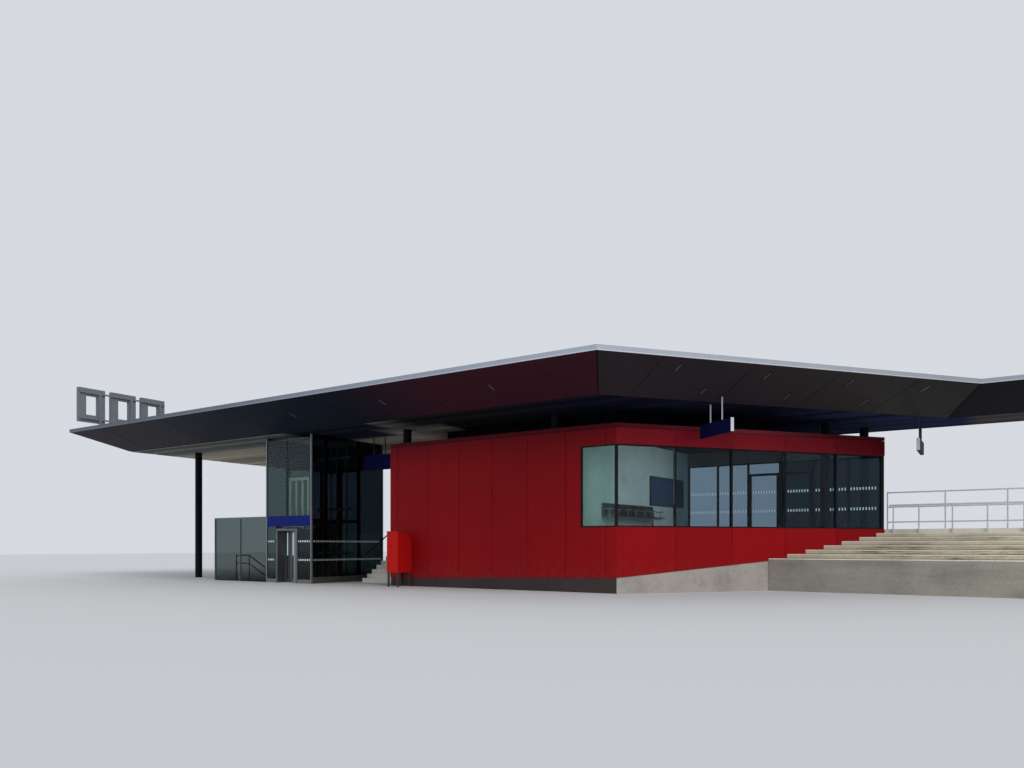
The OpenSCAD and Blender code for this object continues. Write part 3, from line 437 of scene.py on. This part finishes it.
def lamp_cover():
    """The lamps at the left end look unlit."""
    s = painted("lamp_cover", (0.10, 0.10, 0.095), 0.35, 0.05, 2.0)
    s.over(s.fall(X, -9.0, -4.5), (0.012, 0.012, 0.014))
    return s


def membrane():
    """Roof sheet with a welded seam every two metres."""
    s = concrete("roof_membrane", (0.20, 0.205, 0.21), 0.3)
    s.over(s.math("MULTIPLY", s.lines(s.axis(X), 2.0, 0.09), 0.55), (0.11, 0.113, 0.117))
    return s


# Glass
def window_glass():
    """Clear, greener round the corner, with a bluer coat from the third pane on."""
    s = glazing("window_glass", (0.40, 0.49, 0.53), 0.0, 1.0, 1.34)
    s.colour(s.ramp(s.value(s.run(TURN, *OBLIQUE_START), 0.0, 1.0, -2.0, 10.6), [
        (0.0, (0.60, 0.82, 0.72)), (0.155, (0.60, 0.82, 0.72)), (0.16, (0.94, 1.0, 1.0)),
        (0.32, (0.94, 1.0, 1.0)), (0.335, (0.48, 0.58, 0.64)), (0.655, (0.44, 0.54, 0.60)),
        (0.665, (0.62, 0.76, 0.84)), (1.0, (0.62, 0.78, 0.86)),
    ]))
    return s


def platform_glass():
    """The bays at the pointed end carry a dark film."""
    s = glazing("platform_glass", (0.36, 0.43, 0.49), 0.0)
    s.colour(s.mix(s.past(X, 9.25), (0.33, 0.40, 0.46), (0.006, 0.012, 0.018)))
    return s


def tower_glass():
    """Clear front panes, dark film behind; the right pane is nearly black and greener low down."""
    s = glazing("tower_glass", (0.30, 0.38, 0.37), 0.0)
    right = s.ramp(s.rise(Z, 0.4, 2.6), [(0.0, (0.16, 0.24, 0.24)), (1.0, (0.150, 0.185, 0.270))])
    film = s.mix(s.past(X, -6.72), (0.045, 0.068, 0.066), right)
    s.colour(s.mix(s.past(Y, -5.60), (0.74, 0.86, 0.82), film))
    return s


def slit_glass():
    """Narrow panes in the leaves: pale above, with a painted glow standing in for light behind them, dark
    green low down.
    """
    s = glazing("slit_glass", (0.3, 0.3, 0.3), 0.10, 0.3, 1.4)
    pale = s.past(Z, 1.11, 0.02)
    s.colour(s.mix(pale, (0.030, 0.055, 0.050), (0.56, 0.67, 0.65)))
    # Painted light: the upper part glows though it is no lamp
    s.glow(s.mix(pale, (0.0, 0.0, 0.0), (0.21, 0.28, 0.27)), 1.0)
    return s


def marker_film():
    """Frosted dots on the glass, with a painted glow for the daylight on them, dimmer and darker on the
    tower's right pane.
    """
    s = painted("glass_marker", (0.80, 0.82, 0.83), 0.6, 0.04, 3.0)
    side = s.math("MULTIPLY", s.past(X, -6.74), s.fall(X, -6.5, -6.0))
    s.over(side, (0.30, 0.31, 0.32))
    # Painted light: the dots glow though they are no lamp
    s.glow(s.mix(side, (0.75, 0.82, 0.86), (0.34, 0.36, 0.38)), 0.55)
    return s


# Concrete and steel
# Brown stains on the wide steps: centre and half size in front view, and colour
STAINS = [
    (13.5, 1.36, 1.5, 0.28, (0.10, 0.078, 0.045)),
    (16.6, 1.34, 1.5, 0.32, (0.26, 0.20, 0.12)),
    (15.5, 1.77, 1.7, 0.09, (0.12, 0.095, 0.06)),
    (15.0, 1.13, 0.9, 0.07, (0.14, 0.11, 0.07)),
]
RISER_FOOT = 1.096


def plinth_render():
    """Painted shade in the shadow gap under the front, a pale kerb under the oblique wall."""
    s = concrete("grey_render", (0.42, 0.385, 0.35), 0.3)
    # Painted shade under the front wall, up to the corner
    s.times(s.mix(s.past(X, OBLIQUE_START[0] - 0.002), (0.14, 0.11, 0.115), WHITE))
    return s


def step_concrete():
    """Smooth beige steps with a dark line at the foot of each riser, part dirt and part painted shadow, and
    brown stains; greyer below them.
    """
    s = concrete("step_concrete", (0.66, 0.60, 0.47))
    streak = s.noise(1.0, 4, 0.6, vector=s.mapped((0.35, 3.0, 3.0)))
    s.times(s.ramp(streak, [(0.34, (0.88, 0.88, 0.87)), (0.5, WHITE), (0.66, (1.06, 1.06, 1.06))]))
    on_steps = s.past(Z, WIDE_FIRST - 0.01)
    s.times(s.mix(on_steps, (0.52, 0.53, 0.58), WHITE))
    s.shade(X, 13.5, 15.0, [(0.0, WHITE), (1.0, (1.12, 1.12, 1.12))])
    # Dark line at the foot of each riser, part dirt and part painted shadow
    feet = s.lines(s.math("SUBTRACT", s.axis(Z), RISER_FOOT), WIDE_RISER, 0.026)
    s.times(s.mix(s.math("MULTIPLY", feet, on_steps), WHITE, (0.62, 0.60, 0.57)))
    grain = s.noise(2.2, 7, 0.8, vector=s.mapped((0.7, 3.0, 9.0)), distort=0.5)
    fine = s.value(grain, 0.0, 0.9, 0.44, 0.60)
    for x, z, rx, rz, brown in STAINS:
        s.over(s.math("MULTIPLY", s.patch(x, z, rx, rz), fine), brown)
    return s


def bench_metal():
    """Dark seats; arms, beam and feet in bright steel."""
    s = painted("bench_seats", (0.010, 0.011, 0.014), 0.45, 0.12, 4.0, spec=0.08)
    along = s.math("SUBTRACT", s.run(BENCH_TURN, *BENCH_FOOT), 1.15)
    steel = s.math("MAXIMUM", s.lines(along, 0.6, 0.045), s.fall(Z, 2.508, 2.512))
    s.over(steel, (0.42, 0.43, 0.44))
    s.link(s.math("MULTIPLY", steel, 0.8), s.bsdf.inputs["Metallic"])
    return s


def leaf_metal(name, left, right):
    """Brushed door leaf with a paler strip down each side."""
    s = brushed(name, (0.21, 0.217, 0.215), 0.36, (90, 90, 2))
    strip, soft = 0.047, 0.002
    left_strip = s.fall(X, left + strip - soft, left + strip + soft)
    s.over(s.math("MAXIMUM", left_strip, s.past(X, right - strip, soft)), (0.36, 0.37, 0.37))
    return s


STAINLESS = (0.72, 0.73, 0.74)


def rod_steel():
    """Steel of the sign rods, in deep shade beside the lift tower and under the wing."""
    s = brushed("rod_steel", STAINLESS, 0.42, metal=0.5)
    s.over(s.fall(X, -2.0, 0.0), (0.020, 0.022, 0.030))
    s.turns(X, (11.0, 12.0, (0.030, 0.030, 0.044)))
    return s


shaders = {
    "fascia": fascia_metal(),
    "soffit": dark_soffit(),
    "soffit_front": front_soffit(),
    "soffit_oblique": oblique_soffit(),
    "ceiling": ceiling_slats(),
    "gap": painted("ceiling_void", (0.006, 0.006, 0.006), 0.8, 0.2, 1.0, spec=0.05),
    # Top of the room's roof, painted near black as painted shade under the ceiling
    "void": concrete("shaded_roof_top", (0.020, 0.021, 0.024), 0.2),
    "red": red_panels("red_panel", FRONT_SHEETS),
    "red_oblique": oblique_red(),
    "red_coping": red_coping(),
    "red_side": red_panels("red_panel_side", SIDE_SHEETS),
    "column": painted("dark_column", (0.0075, 0.0068, 0.0092), 0.45, 0.12, 2.0, spec=0.07),
    "frame": painted("dark_frame", (0.010, 0.011, 0.012), 0.42, 0.12, 3.0, spec=0.10),
    "core": painted("dark_core", (0.0042, 0.0044, 0.0090), 0.6, 0.12, 3.0, spec=0.05),
    "blue": painted("blue_paint", (0.0060, 0.0140, 0.175), 0.45, 0.08, 2.0, spec=0.08),
    # Blue of the hanging signs, darker than the band's blue, partly as painted shade under the roof
    "sign_blue": painted("sign_blue", (0.0085, 0.0100, 0.066), 0.5, 0.08, 2.0, spec=0.015),
    "board": painted("board_blue", (0.020, 0.060, 0.17), 0.5, 0.08, 2.0, spec=0.05),
    "cabinet": painted("cabinet_red", (0.56, 0.010, 0.008), 0.42, 0.09, 1.6, spec=0.08),
    "steel": brushed("stainless", STAINLESS, 0.42, metal=0.5),
    "rods": rod_steel(),
    "post": brushed("post_steel", (0.22, 0.21, 0.20), 0.40),
    "screen_post": brushed("screen_steel", (0.16, 0.17, 0.165), 0.40),
    "lining": painted("shaft_lining", (0.62, 0.72, 0.60), 0.5, 0.08, 3.0, spec=0.2),
    "leaf_left": leaf_metal("leaf_steel_left", -8.705, -8.128),
    "leaf_right": leaf_metal("leaf_steel_right", -8.122, -7.545),
    "portal": brushed("portal_steel", (0.145, 0.142, 0.138), 0.36, (90, 90, 2)),
    "rail": brushed("rail_steel", (0.34, 0.35, 0.36), 0.4),
    "legs": painted("leg_grey", (0.07, 0.055, 0.05), 0.5, 0.15, 6.0),
    "bench": bench_metal(),
    "sign": painted("sign_grey", (0.165, 0.178, 0.20), 0.5, 0.10, 2.2),
    "white": painted("sign_end", (0.70, 0.71, 0.73), 0.45, 0.05, 2.0),
    "lamp": lamp_cover(),
    "membrane": membrane(),
    "concrete": concrete("concrete", (0.30, 0.285, 0.255), 0.35),
    "plaster": concrete("pale_plaster", (0.74, 0.86, 0.88)),
    "steps": step_concrete(),
    "nosing": concrete("step_nosing", (0.92, 0.87, 0.76), 0.15),
    "render": plinth_render(),
    "upstand": concrete("tower_upstand", (0.085, 0.078, 0.066), 0.3),
    "hall_steps": concrete("hall_steps", (0.74, 0.76, 0.70), 0.2),
    "pale_concrete": concrete("platform_edge", (0.84, 0.80, 0.71), 0.10),
    "glass": window_glass(),
    "tower_glass": tower_glass(),
    "green_glass": glazing("screen_glass", (0.115, 0.145, 0.135), 0.0),
    "slit": slit_glass(),
    "far_glass": platform_glass(),
    "dot": marker_film(),
}
# Shader of each node; a node that isn't listed is plain concrete
paint = {
    "roof_deck": "membrane", "fascia": "fascia", "slat_ceiling": "gap", "roof_frame": "sign",
    "soffit_front": "soffit_front", "soffit_oblique": "soffit_oblique", "soffit_wing": "soffit",
    "soffit_right_end": "soffit", "soffit_rear": "soffit", "soffit_left_end": "soffit",
    "front_columns": "column", "rear_columns": "column", "inner_wall": "plaster",
    "room_roof": "void", "roof_core": "core", "plinth": "render", "coping": "red_coping",
    "front_panels": "red", "oblique_panels": "red_oblique", "side_panels": "red_side",
    "rear_panels": "red", "front_frame": "frame", "oblique_frame": "frame",
    "platform_frames": "frame", "window_panes": "glass", "platform_panes": "far_glass",
    "bench": "bench", "wide_stair": "steps", "step_railing": "steel", "platform_railing": "steel",
    "hall_stair": "hall_steps", "hall_railing": "frame", "tower_posts": "post", "tower_base": "upstand",
    "tower_panes": "tower_glass", "blue_band": "blue", "lift_portal": "portal",
    "door_rail": "rail", "left_leaf": "leaf_left", "right_leaf": "leaf_right",
    "left_leaf_panes": "slit", "right_leaf_panes": "slit", "shaft_frame": "frame",
    "screen_frame": "screen_post", "screen_panes": "green_glass", "underpass_handrails": "frame",
    "hanging_signs": "sign_blue", "sign_rods": "rods", "rooftop_sign": "sign", "wall_cabinet": "cabinet",
    "cabinet_legs": "legs", "platform_deck": "pale_concrete", "platform_walls": "pale_concrete",
}
for node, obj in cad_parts.items():
    obj.data.materials.clear()
    obj.data.materials.append(shaders[paint.get(node, "concrete")].mat)


# Scene and mesh helpers
def add_object(name, data, at=(0, 0, 0), turned=(0, 0, 0)):
    obj = bpy.data.objects.new(name, data)
    obj.location = at
    obj.rotation_euler = turned
    bpy.context.scene.collection.objects.link(obj)
    return obj


BOX_FACES = ((0, 3, 2, 1), (4, 5, 6, 7), (0, 1, 5, 4), (1, 2, 6, 5), (2, 3, 7, 6), (3, 0, 4, 7))


class Pile:
    """Many small boxes of one kind, which make one object."""

    def __init__(self, name, shader, slot, body=BODY):
        self.name, self.shader, self.slot, self.body = name, shader, slot, body
        self.verts, self.faces = [], []

    def box(self, centre, x_dir, size, z_dir=UP):
        """A box of that size along x_dir, the side direction and z_dir."""
        x = x_dir.normalized()
        z = z_dir.normalized()
        y = z.cross(x).normalized()
        h = [s / 2 for s in size]
        n = len(self.verts)
        for k in (-1, 1):
            for j, i in ((-1, -1), (-1, 1), (1, 1), (1, -1)):
                self.verts.append(centre + x * i * h[0] + y * j * h[1] + z * k * h[2])
        self.faces += [tuple(n + i for i in f) for f in BOX_FACES]

    def done(self):
        mesh = bpy.data.meshes.new(self.name)
        mesh.from_pydata([tuple(v) for v in self.verts], [], self.faces)
        mesh.validate()
        mesh.materials.append(shaders[self.shader].mat)
        obj = add_object(self.name, mesh)
        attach(obj, self.body)


# Ceiling slats, parallel to the front, cut to the ceiling's outline; every twelfth place is empty
SLAT_PITCH = 0.1
SLAT_W = 0.078
SLAT_H = 0.022
SLAT_START = 0.05
SLAT_END_GAP = 0.05
SLAT_LEFT = -24.66
SLAT_RIGHT = 12.15
SLAT_PLACES = 123
FIELD = 12
slats = Pile("ceiling_slat_field", "ceiling", "ceiling_slats")
for k in range(1, SLAT_PLACES + 1):
    y = SLAT_START + k * SLAT_PITCH
    end = y / math.tan(TURN) - SLAT_END_GAP if y < WING_CORNER[1] else SLAT_RIGHT
    if k % FIELD:
        centre = place((SLAT_LEFT + end) / 2, y, CEILING_Z - SLAT_H / 2)
        slats.box(centre, RIGHT, (end - SLAT_LEFT, SLAT_W, SLAT_H))
slats.done()

# Soffits: each eave's direction and its way out from the ceiling
SLOPE = math.atan2(SOFFIT_RISE, SOFFIT_W)
EAVES = {"front": (RIGHT, -BACK), "oblique": (ALONG, OUT)}
# Joints: places along each eave, and inner and outer end from the ceiling's edge
JOINTS = {"oblique": [1.0 + 3.0 * k for k in range(5)], "front": [-0.98 - 4.43 * k for k in range(6)]}
JOINT_IN, JOINT_OUT = 0.02, 2.14
JOINT_W = 0.012
FOLD_W = 0.030
LINE_T = 0.006
RIM_SIZE = (0.42, 0.10, 0.012)
LAMP_SIZE = (0.36, 0.055, 0.018)
# Rows of lamps: eave, how far out from the ceiling's edge, and places along the eave
LAMP_ROWS = [
    ("oblique", 1.66, (1.7, 4.7, 7.7, 10.65)),
    ("oblique", 0.6, (3.2, 6.2, 9.2)),
    ("front", 1.13, [-3.07 - 4.46 * k for k in range(5)]),
]
joints = Pile("soffit_joint_lines", "gap", "dark_soffit")
lamps = Pile("soffit_slot_lights", "lamp", "fascia_metal")
rims = Pile("soffit_light_rims", "frame", "dark_frame")


def on_soffit(eave, s, off, drop=0.0):
    """A point s along an eave and off outwards, at or a little below its soffit."""
    along, out = EAVES[eave]
    return place(0, 0, CEILING_Z + SOFFIT_RISE * off / SOFFIT_W - drop) + along * s + out * off


def joint(eave, s):
    a, b = on_soffit(eave, s, JOINT_IN, 0.001), on_soffit(eave, s, JOINT_OUT, 0.001)
    d = b - a
    joints.box((a + b) / 2, d, (d.length, JOINT_W, LINE_T), d.cross(EAVES[eave][0]))


def slot_light(eave, s, off):
    along, out = EAVES[eave]
    up = out * math.cos(SLOPE) + UP * math.sin(SLOPE)
    centre = on_soffit(eave, s, off)
    rims.box(centre, up, RIM_SIZE, up.cross(along))
    lamps.box(centre, up, LAMP_SIZE, up.cross(along))


for eave, places in JOINTS.items():
    for s in places:
        joint(eave, s)
for eave, off, places in LAMP_ROWS:
    for s in places:
        slot_light(eave, s, off)
# Dark seams along the folds at both corners of the oblique eave, a little short of both ends
for outer, inner in ((ROOF[1], (0, 0)), (ROOF[2], WING_CORNER)):
    top, foot = place(*outer, FASCIA_FOOT), place(*inner, CEILING_Z)
    d = foot - top
    a, b = top + d * 0.02, foot - d * 0.01
    side = Vector((-d.y, d.x, 0))
    joints.box((a + b) / 2 - UP * (LINE_T / 2), d, ((b - a).length, FOLD_W, LINE_T), d.cross(side))
joints.done()
rims.done()
lamps.done()

# Fascia: butt joints along all six edges, about a sheet's length apart
SHEET_L = 2.95
FASCIA_JOINT = (0.008, 0.003, 0.146)
fascia = Pile("fascia_joints", "gap", "fascia_metal")
for start, end in zip(ROOF, ROOF[1:] + ROOF[:1]):
    a = place(*start, (FASCIA_FOOT + FASCIA_TOP) / 2)
    d = Vector((end[0] - start[0], end[1] - start[1], 0))
    inward = Vector((-d.y, d.x, 0)).normalized()
    n = round(d.length / SHEET_L)
    for k in range(1, n):
        fascia.box(a + d * (k / n) + inward * 0.002, d, FASCIA_JOINT)
fascia.done()

# Nosings on the wide steps, whose left ends follow the oblique wall, and on the hall stair
NOSING_D = 0.04
WIDE_NOSING, HALL_NOSING = 0.030, 0.014
PROUD_FRONT = 0.002
PROUD_TOP = 0.003
WIDE_RIGHT = 12.89
WALL_GAP = 0.02
HALL_STEPS = 11
HALL_LEFT, HALL_RIGHT = -11.955, -9.515
HALL_FRONT = 2.48
HALL_TREAD = 0.28
HALL_RISER = 0.175
nosings = Pile("step_nosings", "nosing", "step_concrete")


def nosing(x0, x1, y, top, thick):
    """Strip on the edge of a step whose riser is at y and whose tread is at top."""
    y_mid = y + NOSING_D / 2 - PROUD_FRONT
    nosings.box(place((x0 + x1) / 2, y_mid, top + PROUD_TOP - thick / 2), RIGHT, (x1 - x0, NOSING_D, thick))


for k in range(WIDE_STEPS):
    y = WIDE_FRONT + WIDE_TREAD * k
    wall_x = WALL_START[0] + (y - WALL_START[1]) / math.tan(TURN)
    nosing(wall_x + WALL_GAP, WIDE_RIGHT, y, WIDE_FIRST + WIDE_RISER * k, WIDE_NOSING)
for k in range(HALL_STEPS):
    nosing(HALL_LEFT, HALL_RIGHT, HALL_FRONT + HALL_TREAD * k, HALL_RISER * (k + 1), HALL_NOSING)
nosings.done()

# Blank board on the inner wall
WALL_DIR = Vector((math.cos(BENCH_TURN), math.sin(BENCH_TURN), 0))
WALL_OUT = Vector((WALL_DIR.y, -WALL_DIR.x, 0))
BOARD_W, BOARD_H, BOARD_T = 2.7, 1.05, 0.036
RIM_W, RIM_T = 0.03, 0.05
BOARD_ALONG, BOARD_Z = 5.94, 3.565
board_at = Vector((*BENCH_FOOT, BOARD_Z)) + WALL_DIR * BOARD_ALONG + WALL_OUT * 0.02
board = Pile("notice_board", "board", "blue_paint")
board.box(board_at, WALL_DIR, (BOARD_W, BOARD_T, BOARD_H))
board.done()
board_rim = Pile("notice_board_rim", "frame", "dark_frame")
for side in (-1, 1):
    beside = board_at + WALL_DIR * (side * (BOARD_W + RIM_W) / 2)
    board_rim.box(beside, WALL_DIR, (RIM_W, RIM_T, BOARD_H + 2 * RIM_W))
    board_rim.box(board_at + UP * (side * (BOARD_H + RIM_W) / 2), WALL_DIR, (BOARD_W, RIM_T, RIM_W))
board_rim.done()

# Pale end plates on the two signs at the right
END_PLATE = (0.006, 0.106, 0.416)
ends = Pile("sign_end_plates", "white", "blue_paint")
ends.box(place(2.575, 3.074, 5.18) + OUT * 0.853, OUT, END_PLATE)
ends.box(place(7.701, 8.947, 4.99), BACK, END_PLATE)
ends.done()

# Platform door: shadow lines round the two leaves, on both faces, and upright handles on two arms each
DOOR_MID = 2.999
DOOR_Z, DOOR_H = 3.2, 2.18
DOOR_FACES = (9.4895, 9.5905)
DOOR_LEAF = 1.14
DOOR_LINE = 0.008
HANDLE_OFF, HANDLE_Y, HANDLE_Z = 0.08, 9.62, 3.15
door_lines = Pile("platform_door_lines", "gap", "dark_frame")
handles = Pile("platform_door_handles", "steel", "stainless")
for side in (-1, 1):
    for face in DOOR_FACES:
        for off in (0.006, DOOR_LEAF):
            door_lines.box(place(DOOR_MID + side * off, face, DOOR_Z), RIGHT, (DOOR_LINE, 0.002, DOOR_H))
        head = place(DOOR_MID + side * DOOR_LEAF / 2, face, DOOR_Z + DOOR_H / 2)
        door_lines.box(head, RIGHT, (DOOR_LEAF - 0.01, 0.002, DOOR_LINE))
    grip = place(DOOR_MID + side * HANDLE_OFF, HANDLE_Y, HANDLE_Z)
    handles.box(grip, RIGHT, (0.022, 0.022, 0.5))
    for up in (-0.2, 0.2):
        handles.box(grip - BACK * 0.02 + UP * up, RIGHT, (0.016, 0.03, 0.016))
door_lines.done()
handles.done()

# Marker dots on the glass: pitch, width and height of a dot for each kind of row
SIDE_DOTS = (0.12, 0.030, 0.068)
FRONT_DOTS = (0.10, 0.028, 0.072)
PLATFORM_DOTS = (0.10, 0.036, 0.100)
TOWER_FRONT_Y = 0.618
TOWER_SIDE_X = -12.931
PLATFORM_PANE_Y = 9.534
dots = Pile("glass_marker_dots", "dot", "stainless")


def dot_row(start, end, z, pitch, width, height):
    """Dots from start to end, two points in plan."""
    a, b = place(*start, z), place(*end, z)
    d = (b - a).normalized()
    for k in range(int((b - a).length / pitch) + 1):
        dots.box(a + d * (k * pitch), d, (width, 0.003, height))


for z in (0.94, 1.69):
    dot_row((TOWER_SIDE_X, 0.75), (TOWER_SIDE_X, 4.6), z, *SIDE_DOTS)
    dot_row((-15.5, TOWER_FRONT_Y), (-15.12, TOWER_FRONT_Y), z, *FRONT_DOTS)
    dot_row((-13.66, TOWER_FRONT_Y), (-13.05, TOWER_FRONT_Y), z, *FRONT_DOTS)
for z in (FLOOR_Z + 0.75, FLOOR_Z + 1.48):
    dot_row((-0.5, PLATFORM_PANE_Y), (6.4, PLATFORM_PANE_Y), z, *PLATFORM_DOTS)
dots.done()

# Tower: skirting under the front panes and a dark seal between the two upper panes
TOWER_MID = -14.375
SKIRTING_H = 0.15
skirting = Pile("tower_skirting", "post", "stainless")
for x0, x1 in ((-15.57, -15.02), (-13.73, -12.98)):
    skirting.box(place((x0 + x1) / 2, 0.613, SKIRTING_H / 2), RIGHT, (x1 - x0, 0.018, SKIRTING_H))
skirting.done()
seal = Pile("tower_glass_seal", "frame", "dark_frame")
seal.box(place(TOWER_MID, 0.635, 4.365), RIGHT, (0.012, 0.022, 3.27))
seal.done()

# Shaft: pale upright strips under a head rail, and rails and beams at the back
STRIP_Y = 1.56
RAIL_Y = 3.2
lining = Pile("shaft_lining_strips", "lining", "stainless")
for x, w in ((-15.255, 0.13), (-14.86, 0.10), (-14.485, 0.10), (-14.15, 0.10)):
    lining.box(place(x, STRIP_Y, 3.30), RIGHT, (w, 0.03, 1.94))
lining.box(place(-14.705, STRIP_Y, 4.32), RIGHT, (1.23, 0.03, 0.12))
lining.done()
rails = Pile("shaft_rails", "rail", "rail_steel")
for x in (-15.05, -14.55, -14.2, -13.6):
    rails.box(place(x, RAIL_Y, 3.0), RIGHT, (0.05, 0.05, 5.96))
for z in (1.2, 3.1, 5.3):
    rails.box(place(TOWER_MID, RAIL_Y, z), RIGHT, (2.0, 0.09, 0.12))
rails.done()

# Camera: a level view; its focal length and horizon are in pixels of the photograph's frame
FRAME_W, FRAME_H = 1024.0, 768.0
FOCAL = 748.0
HORIZON = 546.0
SENSOR = 36.0
CAMERA_AT = (9.88, -20.06, 1.5)
# Sine of the camera's turn to the left
CAMERA_TURN = 0.5417
cam = bpy.data.cameras.new("camera")
cam.sensor_width = SENSOR
cam.lens = FOCAL / FRAME_W * SENSOR
cam.shift_y = (HORIZON - FRAME_H / 2) / FRAME_W
cam.clip_end = 400.0
camera = add_object("camera", cam, place(*CAMERA_AT), (math.pi / 2, 0, math.asin(CAMERA_TURN)))
bpy.context.scene.camera = camera


# Stage: pale floor, plain sky, soft lamps
def floor_grey():
    mat = bpy.data.materials.new("floor_grey")
    mat.use_nodes = True
    n = Nodes(mat.node_tree)
    out = n.node("ShaderNodeOutputMaterial")
    diffuse = n.node("ShaderNodeBsdfDiffuse")
    n.feed(diffuse.inputs[0], (0.62, 0.62, 0.62))
    n.link(diffuse.outputs[0], out.inputs[0])
    return mat


bpy.ops.mesh.primitive_plane_add(size=260)
floor = bpy.context.object
floor.name = "floor"
floor.location = (0, 0, -0.002)
floor.data.materials.append(floor_grey())


def sky():
    """Plain and pale; reflections see soft clouds, dark low down towards +X."""
    world = bpy.data.worlds.new("sky")
    bpy.context.scene.world = world
    world.use_nodes = True
    n = Nodes(world.node_tree)
    plain = n.node("ShaderNodeBackground")
    n.feed(plain.inputs["Color"], (0.90, 0.94, 1.0))
    n.feed(plain.inputs["Strength"], 0.75)

    direction = n.node("ShaderNodeTexCoord").outputs["Generated"]
    split = n.node("ShaderNodeSeparateXYZ")
    n.link(direction, split.inputs[0])
    clouds = n.node("ShaderNodeTexNoise")
    n.feed(clouds.inputs["Scale"], 11)
    n.feed(clouds.inputs["Detail"], 5)
    n.link(direction, clouds.inputs["Vector"])
    cloud = n.math("ADD", n.math("MULTIPLY", clouds.outputs["Fac"], 1.1), 0.15)
    low = n.math("MULTIPLY", n.math("SUBTRACT", 0.30, split.outputs[Z]), 6.0, clamp=True)
    towards = n.math("MULTIPLY", n.math("SUBTRACT", split.outputs[X], 0.3), 5.0, clamp=True)
    dark = n.math("MULTIPLY", n.math("MULTIPLY", low, towards), 0.96)
    light = n.math("MULTIPLY", cloud, n.math("SUBTRACT", 1.0, dark))
    mirrored = n.node("ShaderNodeBackground")
    n.feed(mirrored.inputs["Color"], (0.62, 0.76, 0.95))
    n.link(n.math("MULTIPLY", light, 1.7), mirrored.inputs["Strength"])

    path = n.node("ShaderNodeLightPath").outputs
    mirror = n.math("MULTIPLY", path["Is Glossy Ray"], n.math("SUBTRACT", 1.0, path["Is Transmission Ray"]))
    both = n.node("ShaderNodeMixShader")
    n.link(mirror, both.inputs[0])
    n.link(plain.outputs[0], both.inputs[1])
    n.link(mirrored.outputs[0], both.inputs[2])
    n.link(both.outputs[0], n.node("ShaderNodeOutputWorld").inputs[0])


sky()

sun = bpy.data.lights.new("soft_sun", "SUN")
sun.energy = 1.2
sun.angle = math.radians(30)
add_object("soft_sun", sun, turned=(math.radians(48), 0, math.radians(62)))

# Daylight that reaches the inner wall of the room, as a soft lamp turned to that wall
glow = bpy.data.lights.new("room_glow", "AREA")
glow.shape = "RECTANGLE"
glow.size, glow.size_y = 5.0, 1.6
glow.energy = 11
glow.color = (0.80, 1.0, 1.0)
glow_obj = add_object("room_glow", glow, place(1.0, 5.0, 3.7), (math.pi / 2, 0, math.pi / 2))
glow_obj.visible_camera = False
glow_obj.visible_transmission = False
glow_obj.visible_glossy = False

bpy.context.scene.view_settings.view_transform = "Standard"
